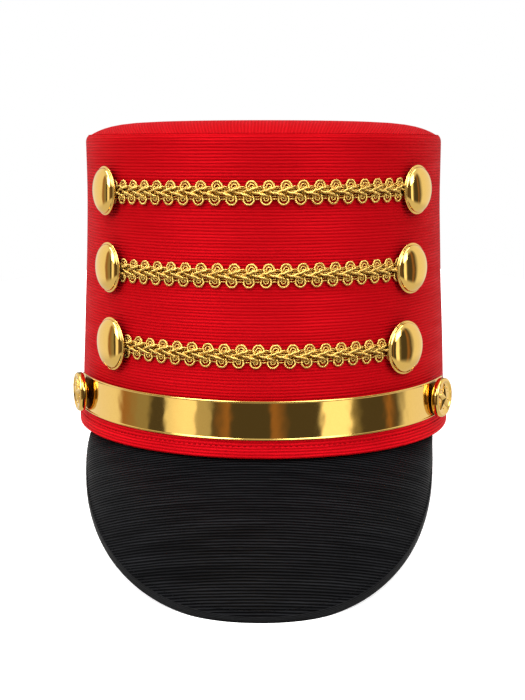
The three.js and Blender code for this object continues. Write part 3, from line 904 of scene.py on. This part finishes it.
def star_button_parts():
    """A thick button with a sunk field, and on it a star with a bead between each two points."""
    radius = STAR_BUTTON_DIAMETER / 2
    shank = STAR_BUTTON_SHANK / 2
    back = STAR_BUTTON_STAND_OFF - CLEARANCE
    front = back + STAR_BUTTON_THICKNESS
    field = front - STAR_FIELD_DEPTH
    inner = radius - STAR_RING_WIDTH
    profile = [
        (0, 0), (shank, 0), (shank, back), (radius - 0.8, back), (radius - 0.45, back + 0.12),
        (radius - 0.12, back + 0.45), (radius, back + 0.9), (radius, front - 1.2),
        (radius - 0.08, front - 0.8), (radius - 0.3, front - 0.35), (radius - 0.6, front - 0.1),
        (radius - 0.95, front), (inner + 0.35, front), (inner + 0.1, front - 0.15),
        (inner - 0.1, field + 0.1), (inner - 0.35, field), (inner * 0.5, field), (0.8, field),
        (0, field),
    ]
    pieces = [turned_parts(profile), star_parts(field)]
    for i in range(STAR_POINTS):
        turn = (i + 0.5) * math.tau / STAR_POINTS
        x, y = STAR_BEAD_PLACE * math.sin(turn), STAR_BEAD_PLACE * math.cos(turn)
        pieces.append(bead_parts(x, y, field, STAR_BEAD_RADIUS))
    return joined_parts(pieces)


def make_star_buttons():
    """One star button at each end of the band, with the star's slopes shaded flat."""
    outside = HEM_OUTSIDE + BAND_THICKNESS + 2 * CLEARANCE
    middle = BAND_BOTTOM + BAND_WIDTH / 2
    smallest, largest = STAR_FACETS[0] * MM * MM, STAR_FACETS[1] * MM * MM
    for word, (angle, rise, turn) in STAR_BUTTON_SEATS.items():
        parts = seated(star_button_parts(), math.radians(angle), middle + rise, outside,
                       math.radians(turn))
        piece = mesh_object(f"star_button_gilt_{word}", parts, MATERIALS["gilt"])
        for face in piece.data.polygons:
            if len(face.vertices) == 3 and smallest < face.area < largest:
                face.use_smooth = False
        dull_shaded_back(piece, STAR_BACK_RINGS)
        finish_piece(piece, "gilt", f"star_button_{word}")


# Braid and stitches, repeated along a path by geometry nodes


def smooth_path(knots, spacing):
    """A smooth curve through the knots, with points so far apart."""
    knots = np.asarray(knots, float)
    padded = np.vstack([2 * knots[0] - knots[1], knots, 2 * knots[-1] - knots[-2]])
    dense = []
    for i in range(1, len(padded) - 2):
        p0, p1, p2, p3 = padded[i - 1:i + 3]
        for t in np.linspace(0, 1, 20, endpoint=False):
            dense.append(0.5 * (2 * p1 + (p2 - p0) * t + (2 * p0 - 5 * p1 + 4 * p2 - p3) * t ** 2
                                + (3 * p1 - p0 - 3 * p2 + p3) * t ** 3))
    dense.append(knots[-1])
    dense = np.array(dense)
    lengths = path_lengths(dense)
    wanted = np.linspace(0, lengths[-1], max(4, int(lengths[-1] / spacing)))
    return np.column_stack([np.interp(wanted, lengths, dense[:, i]) for i in range(3)])


def cord_parts(knots, diameter, spacing=0.3, sides=7, twist=1.9, relief=0.14):
    """A two-ply cord along a smooth path: its section turns as it goes, so the plies show."""
    path = smooth_path(knots, spacing)
    along = directions_along(path)
    side = unit(np.cross(np.array([0, 0, 1.0]), along))
    up = np.cross(along, side)
    lengths = path_lengths(path)
    turns = np.linspace(0, math.tau, sides + 1)[:-1]
    phase = turns[:, None] * 2 - lengths[None] * math.tau / twist
    radius = diameter / 2 * (1 - relief + relief * np.cos(phase))
    across = (radius * np.cos(turns)[:, None])[..., None] * side[None]
    points = path[None] + across + (radius * np.sin(turns)[:, None])[..., None] * up[None]
    uvs = uv_grid(lengths, np.linspace(0, 1, sides + 1) / UV_SCALE)
    return grid_parts(points, uvs, True, False, cap_ends=True)


def braid_loop_parts(cord, pitch):
    """One repeat of the braid, in millimetres: X along the row, Y up and Z away from the wall.
    A ring above and one below, each with a coil inside it, and a thick twisted strand over it."""
    ring = arc(0, 2.5, 2.08, -30, 212, 12, 0.75) + [(-1.5, 0.7, 0.65), (-0.5, 0.2, 0.55)]
    coil = [(-1.5, 1.3, 0.5)] + arc(0.05, 2.35, 1.12, 195, -75, 9, 0.85) + [(-0.5, 1.2, 0.7)]
    fill = [(-0.9, 0.9, 0.5), (-0.3, 1.9, 0.75), (0.4, 2.3, 0.95), (0.9, 1.7, 1.0), (1.6, 1.4, 0.9)]
    strand = [(-4.9, -0.35, 0.6), (-3.7, 0.1, 1.1), (-2.1, 0.65, 1.55), (-0.3, 1.25, 1.75),
              (1.3, 1.75, 1.6), (2.2, 2.05, 1.2), (2.7, 2.2, 0.6)]
    bead = [(2.6, 2.3, 0.4), (3.0, 2.45, 0.75), (3.8, 2.4, 0.75), (4.3, 2.3, 0.4)]

    # The lower half, in the same order, is drawn about its own middle and then shifted
    low_ring = arc(0, -2.75, 2.1, 148, 392, 12, 0.75) + [(1.6, -0.9, 0.6)]
    low_coil = [(-1.5, -1.5, 0.5)] + arc(0, -2.35, 1.0, 170, 380, 8, 0.8)
    low_fill = [(-1.2, -1.2, 0.5), (-0.4, -2.2, 0.85), (0.5, -2.2, 0.9), (1.2, -1.6, 0.8)]
    low_strand = [(-6.2, 0.3, 0.6), (-5.2, 0.15, 1.15), (-3.6, -0.2, 1.75), (-1.9, -0.6, 1.95),
                  (-0.5, -1.05, 1.8), (0.5, -1.4, 1.3), (0.8, -1.6, 0.7)]
    low_bead = [(2.3, -2.4, 0.4), (2.9, -2.6, 0.75), (3.9, -2.6, 0.75), (4.5, -2.4, 0.4)]
    low_ring, low_coil, low_fill, low_strand, low_bead = (
        [(x + BRAID_SHIFT, y, z) for x, y, z in knots]
        for knots in (low_ring, low_coil, low_fill, low_strand, low_bead))

    parts = [cord_parts(knots, cord) for knots in (ring, low_ring)]
    for paths, share, twist, relief in (((coil, low_coil, fill, low_fill), 0.78, 1.2, 0.24),
                                        ((strand, low_strand), 1.28, 2.6, 0.22),
                                        ((bead, low_bead), 0.74, 0.9, 0.3)):
        parts += [cord_parts(knots, cord * share, twist=twist, relief=relief) for knots in paths]
    for level in BRAID_CORE_LEVELS:
        core = [(-pitch / 2, level, -0.05), (0, level, 0.0), (pitch / 2, level, -0.05)]
        parts.append(cord_parts(core, cord * 0.85, spacing=0.6))
    return joined_parts(parts)


def repeat_piece(name, parts, material):
    """The small piece that a row repeats, from parts in millimetres."""
    points, blocks = parts
    return mesh_object(name, (points * MM, blocks), material)


def repeat_tree():
    """Repeats a small piece along a path, turned to follow it and the direction out of the wall."""
    tree = bpy.data.node_groups.new("Repeat Along Path", "GeometryNodeTree")
    for label, kind in (("Path", "Geometry"), ("Piece", "Object"), ("Count", "Int"),
                        ("Scale", "Float"), ("Finish", "Material")):
        tree.interface.new_socket(name=label, in_out="INPUT", socket_type="NodeSocket" + kind)
    tree.interface.new_socket(name="Geometry", in_out="OUTPUT", socket_type="NodeSocketGeometry")
    given = add_node(tree, "NodeGroupInput").outputs
    curve = add_node(tree, "GeometryNodeMeshToCurve", {"Mesh": given["Path"]})
    spaced = add_node(tree, "GeometryNodeResampleCurve",
                      {"Curve": curve.outputs[0], "Count": given["Count"]}, mode="COUNT")
    away = add_node(tree, "GeometryNodeInputNamedAttribute", {"Name": "away"},
                    data_type="FLOAT_VECTOR")
    tangent = add_node(tree, "GeometryNodeInputTangent")
    turn = add_node(tree, "FunctionNodeAxesToRotation",
                    {0: away.outputs["Attribute"], 1: tangent.outputs[0]},
                    primary_axis="Z", secondary_axis="X")
    piece = add_node(tree, "GeometryNodeObjectInfo", {"Object": given["Piece"]})
    copies = add_node(tree, "GeometryNodeInstanceOnPoints", {
        "Points": spaced.outputs[0], "Instance": piece.outputs["Geometry"],
        "Rotation": turn.outputs[0], "Scale": given["Scale"]})
    real = add_node(tree, "GeometryNodeRealizeInstances", {0: copies.outputs[0]})
    finish = add_node(tree, "GeometryNodeSetMaterial",
                      {"Geometry": real.outputs[0], "Material": given["Finish"]})
    add_node(tree, "NodeGroupOutput", {"Geometry": finish.outputs[0]})
    return tree


def repeated_along(name, path, away, repeat, pitch, material, tree):
    """A small piece repeated along a path in the hat's frame, as one plain mesh."""
    mesh = bpy.data.meshes.new(name)
    count = len(path)
    edges = [(i, i + 1) for i in range(count - 1)]
    mesh.from_pydata([tuple(point) for point in in_row(path)], edges, [])
    field = mesh.attributes.new("away", "FLOAT_VECTOR", "POINT")
    field.data.foreach_set("vector", turned_to_row(away).ravel())
    piece = bpy.data.objects.new(name, mesh)
    bpy.context.scene.collection.objects.link(piece)
    modifier = piece.modifiers.new("Repeat", "NODES")
    modifier.node_group = tree
    copies = round(path_lengths(path)[-1] / pitch) + 1
    values = {"Piece": repeat, "Count": copies, "Scale": 1.0, "Finish": material}
    for socket in tree.interface.items_tree:
        if socket.in_out == "INPUT" and socket.name in values:
            modifier[socket.identifier] = values[socket.name]
    bpy.context.view_layer.update()
    whole = piece.evaluated_get(bpy.context.evaluated_depsgraph_get())
    plain = bpy.data.meshes.new_from_object(whole)
    if not plain.polygons:
        raise RuntimeError(f"{name}: the nodes made no faces")
    piece.modifiers.remove(modifier)
    piece.data = plain
    plain.name = name
    return piece


def make_braid(settings):
    """Three rows of looped cord, each with its loops in step with the middle of the front."""
    tree = repeat_tree()
    pitch = settings.loop_pitch / MM
    parts = braid_loop_parts(settings.cord_diameter / MM, pitch)
    repeat = repeat_piece("braid_repeat", parts, MATERIALS["braid"])
    round_share = math.sqrt((1 + LENGTH_OVER_WIDTH ** 2) / 2)
    for row, (height, rise, diameter, left, right) in TRIM_ROWS.items():
        level = height * WALL_HEIGHT
        covered = diameter * BRAID_END_SHARE / (float(half_width(level)) * round_share)
        end = math.radians(right[0]) - covered
        angles = np.linspace(math.radians(left[0]) + covered, end, 400)
        lengths = path_lengths(on_body(angles, level, CLEARANCE))
        place = LOOP_PLACES[row] + np.interp(0, angles, lengths)
        first = place - math.floor(place / pitch) * pitch
        last = first + math.floor((lengths[-1] - first) / pitch) * pitch
        angles = np.interp(np.linspace(first, last, 300), lengths, angles)
        path = on_body(angles, (height + rise * angles / end) * WALL_HEIGHT, CLEARANCE)
        piece = repeated_along(f"braid_cords_{row}", path, outward(angles), repeat, pitch,
                               MATERIALS["braid"], tree)
        finish_piece(piece, "gold_braid", f"braid_{row}")
    bpy.data.objects.remove(repeat)


def stitch_row(name, path, away, pitch, finish, slot, tree):
    """A row of stitches that go in and out of the cloth along a path."""
    half = STITCH_LENGTH / 2
    knots = [(-half, 0, -0.15), (-half + 0.2, 0, 0.12), (half - 0.2, 0, 0.12), (half, 0, -0.15)]
    parts = cord_parts(knots, STITCH_THREAD, spacing=0.4, sides=6, twist=0.8)
    repeat = repeat_piece("stitch_repeat", parts, MATERIALS[finish])
    piece = repeated_along(name, path, away, repeat, pitch, MATERIALS[finish], tree)
    finish_piece(piece, slot)
    bpy.data.objects.remove(repeat)


def make_stitches(settings):
    """A row of stitches along the fold of the hem, and one along the bound edge of the peak."""
    tree = repeat_tree()
    pitch, level = settings.stitch_pitch / MM, settings.stitch_height / MM
    angles, _ = ring_lengths()
    path = on_body(angles, level, HEM_OUTSIDE)
    path[:, 2] -= foot_dip(angles) * (1 - level / HEM_OUTSIDE_HEIGHT)
    stitch_row("hem_stitches", path, outward(angles), pitch, "red", "red_cloth", tree)

    shares = peak_shares(300)[12:-12]
    path = peak_top(shares, PEAK_STITCH_REACH)
    inwards = peak_top(shares, PEAK_STITCH_INNER) - path
    away = np.cross(np.gradient(path, axis=0), inwards)
    away = unit(away * np.sign(away[:, 2:3]))
    stitch_row("peak_stitches", path, away, pitch, "binding", "black_cloth", tree)


# Stage


def soft_light(name, place, size, power, mirrored):
    """A rectangular lamp turned towards the middle of the hat."""
    light = bpy.data.lights.new(name, "AREA")
    light.shape = "RECTANGLE"
    light.size, light.size_y = size
    light.energy = power
    lamp = bpy.data.objects.new(name, light)
    lamp.visible_glossy = mirrored
    lamp.location = place
    towards = Vector(LAMP_TARGET) - Vector(place)
    lamp.rotation_euler = towards.to_track_quat("-Z", "Y").to_euler()
    bpy.context.scene.collection.objects.link(lamp)


# What the lamps point at, and each lamp's place, width and height, its share of the main lamp's
# power, and whether polished metal mirrors it
LAMP_TARGET = (0, 0, 0.08)
LAMPS = {
    "key_left": ((-1.15, -0.95, 1.35), (1.1, 1.1), 1.0, True),
    "key_right": ((1.15, -0.95, 1.35), (1.1, 1.1), 0.85, True),
    "fill_back": ((0.0, 1.7, 0.9), (2.0, 1.0), 0.45, False),
    "strip_left": ((-0.5, -0.1, 1.3), (1.4, 0.22), 0.38, True),
    "strip_right": ((0.42, -0.1, 1.3), (1.4, 0.14), 0.16, True),
    "fill_left": ((-1.8, 0.2, 0.5), (1.0, 1.0), 0.14, False),
    "fill_right": ((1.8, 0.2, 0.5), (1.0, 1.0), 0.14, False),
}


def make_camera():
    """The photograph's view: 525 by 700, level with the upper part of the hat, 9 degrees down."""
    focal_length, frame_height, shift = 1265.7, 700, -1.2
    distance, eye = 615.06, 126.07
    yaw, pitch = math.radians(1.0), math.radians(9.0)
    place = np.array([distance * math.sin(yaw), -distance * math.cos(yaw), eye])
    level = np.array([-math.sin(yaw), math.cos(yaw), 0])
    ahead = level * math.cos(pitch) - np.array([0, 0, math.sin(pitch)])
    right = np.array([math.cos(yaw), math.sin(yaw), 0])
    axes = turned_to_row(np.array([right, np.cross(right, ahead), -ahead]))
    camera = bpy.data.cameras.new("Camera")
    camera.lens = camera.sensor_width * focal_length / frame_height
    camera.shift_x = shift / frame_height
    camera.clip_end = 50
    view = bpy.data.objects.new("Camera", camera)
    matrix = Matrix(axes.T.tolist()).to_4x4()
    matrix.translation = Vector(in_row(place))
    view.matrix_world = matrix
    bpy.context.scene.collection.objects.link(view)
    bpy.context.scene.camera = view


# The pale floor is a round table top, and beyond it the camera sees the studio's white surround
FLOOR_RADIUS = 0.34
FLOOR_SEGMENTS = 96
FLOOR_TINT = (0.8, 0.8, 0.8)
FLOOR_GLOW = 0.55

# Tints of the studio's walls and soft panels
STUDIO_CEILING = (0.85, 0.85, 0.85)
STUDIO_GROUND = (0.75, 0.73, 0.7)
BACK_WALL = (0.25, 0.25, 0.25)
PALE_WALL = (0.98, 0.96, 0.93)
LEFT_PANEL = (1.3, 1.26, 1.22)
RIGHT_PANEL = (1.5, 1.46, 1.4)
SOFT_GREY = (0.52, 0.49, 0.43)
DIM_GREY = (0.33, 0.3, 0.23)
DARK_WALL = (0.08, 0.07, 0.06)
WARM_TRIM = (0.36, 0.18, 0.08)

# The studio's low horizon, by degrees round from the hat's front
HORIZON = [
    (-180, BACK_WALL), (-162, BACK_WALL), (-150, PALE_WALL), (-102, PALE_WALL), (-97, WARM_TRIM),
    (-84, DIM_GREY), (-77, DIM_GREY), (-75, DARK_WALL), (-66, DARK_WALL), (-64, PALE_WALL),
    (-52, LEFT_PANEL), (-44, LEFT_PANEL), (-42, SOFT_GREY), (-34, SOFT_GREY), (-32, DARK_WALL),
    (-23, WARM_TRIM), (-19, DARK_WALL), (6, DARK_WALL), (9, WARM_TRIM), (18, DARK_WALL),
    (39, DARK_WALL), (42, RIGHT_PANEL), (58, RIGHT_PANEL), (61, DIM_GREY), (68, DARK_WALL),
    (84, DARK_WALL), (87, WARM_TRIM), (94, DARK_WALL), (103, PALE_WALL), (150, PALE_WALL),
    (162, BACK_WALL),
]


def make_world(settings):
    """A pale studio with two tall soft panels in front of darker walls, and a bright ceiling."""
    world = bpy.data.worlds.new("Studio")
    bpy.context.scene.world = world
    world.use_nodes = True
    tree = world.node_tree
    place = add_node(tree, "ShaderNodeTexCoord").outputs["Generated"]
    across, depth, height = separated(tree, place)
    turn = maths(tree, "ARCTAN2", across, maths(tree, "MULTIPLY", depth, -1.0))
    share = maths(tree, "MULTIPLY_ADD", turn, 1 / math.tau, 0.5)
    horizon = add_node(tree, "ShaderNodeValToRGB", {0: share})
    stops = horizon.color_ramp.elements
    stops.remove(stops[-1])
    stops[0].color = colour(HORIZON[0][1])
    for degrees, tint in HORIZON[1:]:
        stops.new(degrees / 360 + 0.5).color = colour(tint)
    fall = placed_between(tree, height, -0.32, -0.5, "SMOOTHSTEP")
    rise = placed_between(tree, height, 0.45, 0.75, "SMOOTHSTEP")
    walls = mixed_colours(tree, fall, horizon.outputs[0], STUDIO_GROUND)
    sky = mixed_colours(tree, rise, walls, STUDIO_CEILING)
    camera_ray = add_node(tree, "ShaderNodeLightPath").outputs["Is Camera Ray"]
    feed(tree, tree.nodes["Background"], {
        "Color": mixed_colours(tree, camera_ray, sky, WHITE),
        "Strength": settings.studio_strength,
    })


def make_floor():
    """A pale floor that stays near white to the camera, as a lit studio sweep does."""
    mesh = bpy.data.meshes.new("floor")
    turns = np.linspace(0, math.tau, FLOOR_SEGMENTS + 1)[:-1]
    corners = [(FLOOR_RADIUS * math.cos(t), FLOOR_RADIUS * math.sin(t), 0) for t in turns]
    mesh.from_pydata(corners, [], [tuple(range(len(corners)))])
    material, tree, shader = new_material("Pale Floor")
    camera_ray = add_node(tree, "ShaderNodeLightPath").outputs["Is Camera Ray"]
    feed(tree, shader, {
        "Base Color": colour(FLOOR_TINT),
        "Roughness": 0.9,
        "Specular IOR Level": 0.05,
        "Emission Color": colour(WHITE),
        "Emission Strength": maths(tree, "MULTIPLY", camera_ray, FLOOR_GLOW),
    })
    mesh.materials.append(material)
    floor = bpy.data.objects.new("floor", mesh)
    floor.visible_glossy = False
    bpy.context.scene.collection.objects.link(floor)


def make_stage(settings):
    bpy.context.scene.view_settings.view_transform = "Standard"
    make_floor()
    make_world(settings)
    for name, (place, size, share, mirrored) in LAMPS.items():
        soft_light(name, place, size, settings.light_power * share, mirrored)
    make_camera()


# Settings, operators and panel


def number_setting(label, default, low, high, text, unit="NONE"):
    return bpy.props.FloatProperty(name=label, default=default, min=low, max=high, unit=unit,
                                   description=text)


def length_setting(label, default, low, high, text):
    """A length that is given here in millimetres and kept in metres, as Blender keeps lengths."""
    return bpy.props.FloatProperty(name=label, default=default * MM, min=low * MM, max=high * MM,
                                   unit="LENGTH", precision=5, description=text)


def colour_setting(label, default, text):
    return bpy.props.FloatVectorProperty(name=label, subtype="COLOR", size=3, default=default,
                                         min=0, max=1, description=text)


class ShakoSettings(bpy.types.PropertyGroup):
    """Sizes and colours of the hat that a user would change."""

    ribs_per_metre: number_setting(
        "Ribs per Metre", 770, 100, 3000, "How many ribs of the cloth lie in one metre")
    cloth_unevenness: length_setting(
        "Cloth Unevenness", 0.22, 0, 1, "How far the cloth rises and falls")
    cord_diameter: length_setting(
        "Cord Diameter", 1.18, 0.3, 2, "Thickness of the braid's cord")
    loop_pitch: length_setting(
        "Loop Pitch", 6.98, 3, 15, "Distance between two loops of the braid")
    stitch_height: length_setting(
        "Stitch Height", 5.2, 1, 7, "Height of the hem's stitches over its foot")
    stitch_pitch: length_setting(
        "Stitch Pitch", 2.4, 1, 6, "Distance between two stitches")
    # Painted shade: the red cloth's colour between its ribs
    red_painted_rib_shade: colour_setting(
        "Red In Painted Rib Shade", (0.335, 0.002, 0.004), "Colour between the ribs of the red cloth")
    # Painted highlight: the red cloth's colour on its ribs
    red_painted_rib_light: colour_setting(
        "Bright Red", (0.495, 0.004, 0.009), "Colour on the ribs of the red cloth")
    # Painted light: the hem's ribs are painted brighter than the wall's
    hem_painted_light: colour_setting(
        "Hem Red In Painted Light", (0.78, 0.006, 0.015), "Colour on the ribs of the hem")
    # Painted shade: the black cloth's colour between its ribs
    black_painted_rib_shade: colour_setting(
        "Black In Painted Rib Shade", (0.0004, 0.0004, 0.0006), "Colour between the black ribs")
    # Painted highlight: the black cloth's colour on its ribs
    black_painted_rib_light: colour_setting(
        "Black In Painted Rib Light", (0.016, 0.0165, 0.0185), "Colour on the black ribs")
    gilt_colour: colour_setting(
        "Gilt", (0.9, 0.59, 0.155), "Colour of the polished metal")
    gilt_dull: colour_setting(
        "Dull Gilt", (0.8, 0.5, 0.12), "Colour of the metal's faint marks")
    braid_colour: colour_setting(
        "Braid Gold", (0.95, 0.7, 0.22), "Colour of the braid's thread")
    # Painted shade: the braid's colour between its plies
    braid_painted_ply_shade: colour_setting(
        "Braid Gold In Painted Ply Shade", (0.6, 0.34, 0.06), "Colour between the thread's plies")
    studio_strength: number_setting(
        "Studio Strength", 1.0, 0, 5, "Brightness of the studio around the hat")
    light_power: number_setting(
        "Light Power", 25, 0, 500, "Power of the main soft light", "POWER")


class SHAKO_OT_materials(bpy.types.Operator):
    """Makes the cloth, gilt and thread finishes"""

    bl_idname = "shako.materials"
    bl_label = "Make Finishes"
    bl_options = {"REGISTER", "UNDO"}

    def execute(self, context):
        make_materials(context.scene.shako)
        return {"FINISHED"}


class SHAKO_OT_stage(bpy.types.Operator):
    """Makes the floor, the soft lights and the camera"""

    bl_idname = "shako.stage"
    bl_label = "Make Stage"
    bl_options = {"REGISTER", "UNDO"}

    def execute(self, context):
        make_stage(context.scene.shako)
        return {"FINISHED"}


class SHAKO_OT_wall(bpy.types.Operator):
    """Makes the ribbed cloth drum"""

    bl_idname = "shako.wall"
    bl_label = "Make Wall"
    bl_options = {"REGISTER", "UNDO"}

    def execute(self, context):
        make_wall(context.scene.shako)
        return {"FINISHED"}


class SHAKO_OT_crown(bpy.types.Operator):
    """Makes the domed crown"""

    bl_idname = "shako.crown"
    bl_label = "Make Crown"
    bl_options = {"REGISTER", "UNDO"}

    def execute(self, context):
        make_crown()
        return {"FINISHED"}


class SHAKO_OT_hem(bpy.types.Operator):
    """Makes the folded hem"""

    bl_idname = "shako.hem"
    bl_label = "Make Hem"
    bl_options = {"REGISTER", "UNDO"}

    def execute(self, context):
        make_hem(context.scene.shako)
        return {"FINISHED"}


class SHAKO_OT_peak(bpy.types.Operator):
    """Makes the ribbed black peak"""

    bl_idname = "shako.peak"
    bl_label = "Make Peak"
    bl_options = {"REGISTER", "UNDO"}

    def execute(self, context):
        make_peak()
        return {"FINISHED"}


class SHAKO_OT_binding(bpy.types.Operator):
    """Makes the bound edge of the peak"""

    bl_idname = "shako.binding"
    bl_label = "Make Binding"
    bl_options = {"REGISTER", "UNDO"}

    def execute(self, context):
        make_binding()
        return {"FINISHED"}


class SHAKO_OT_band(bpy.types.Operator):
    """Makes the polished front band"""

    bl_idname = "shako.band"
    bl_label = "Make Band"
    bl_options = {"REGISTER", "UNDO"}

    def execute(self, context):
        make_band()
        return {"FINISHED"}


class SHAKO_OT_dome_buttons(bpy.types.Operator):
    """Makes the six domed buttons"""

    bl_idname = "shako.dome_buttons"
    bl_label = "Make Domed Buttons"
    bl_options = {"REGISTER", "UNDO"}

    def execute(self, context):
        make_dome_buttons()
        return {"FINISHED"}


class SHAKO_OT_star_buttons(bpy.types.Operator):
    """Makes the two star buttons"""

    bl_idname = "shako.star_buttons"
    bl_label = "Make Star Buttons"
    bl_options = {"REGISTER", "UNDO"}

    def execute(self, context):
        make_star_buttons()
        return {"FINISHED"}


class SHAKO_OT_braid(bpy.types.Operator):
    """Makes the three rows of braid"""

    bl_idname = "shako.braid"
    bl_label = "Make Braid"
    bl_options = {"REGISTER", "UNDO"}

    def execute(self, context):
        make_braid(context.scene.shako)
        return {"FINISHED"}


class SHAKO_OT_stitches(bpy.types.Operator):
    """Makes the stitches of the hem and the peak"""

    bl_idname = "shako.stitches"
    bl_label = "Make Stitches"
    bl_options = {"REGISTER", "UNDO"}

    def execute(self, context):
        make_stitches(context.scene.shako)
        return {"FINISHED"}


OPERATORS = (
    SHAKO_OT_materials, SHAKO_OT_stage, SHAKO_OT_wall, SHAKO_OT_crown,
    SHAKO_OT_hem, SHAKO_OT_peak, SHAKO_OT_binding, SHAKO_OT_band,
    SHAKO_OT_dome_buttons, SHAKO_OT_star_buttons, SHAKO_OT_braid, SHAKO_OT_stitches,
)


class SHAKO_PT_panel(bpy.types.Panel):
    """Lists the hat's settings and the steps that build it."""

    bl_label = "Shako Hat"
    bl_idname = "SHAKO_PT_panel"
    bl_space_type = "VIEW_3D"
    bl_region_type = "UI"
    bl_category = "Shako"

    def draw(self, context):
        for name in ShakoSettings.__annotations__:
            self.layout.prop(context.scene.shako, name)
        for operator in OPERATORS:
            self.layout.operator(operator.bl_idname)


CLASSES = [ShakoSettings, *OPERATORS, SHAKO_PT_panel]


def register():
    for item in CLASSES:
        bpy.utils.register_class(item)
    bpy.types.Scene.shako = bpy.props.PointerProperty(type=ShakoSettings)


def unregister():
    del bpy.types.Scene.shako
    for item in reversed(CLASSES):
        bpy.utils.unregister_class(item)


def main():
    register()
    bpy.ops.shako.materials()
    bpy.ops.shako.stage()
    bpy.ops.shako.wall()
    bpy.ops.shako.crown()
    bpy.ops.shako.hem()
    bpy.ops.shako.peak()
    bpy.ops.shako.binding()
    bpy.ops.shako.band()
    bpy.ops.shako.dome_buttons()
    bpy.ops.shako.star_buttons()
    bpy.ops.shako.braid()
    bpy.ops.shako.stitches()


if __name__ == "__main__":
    main()
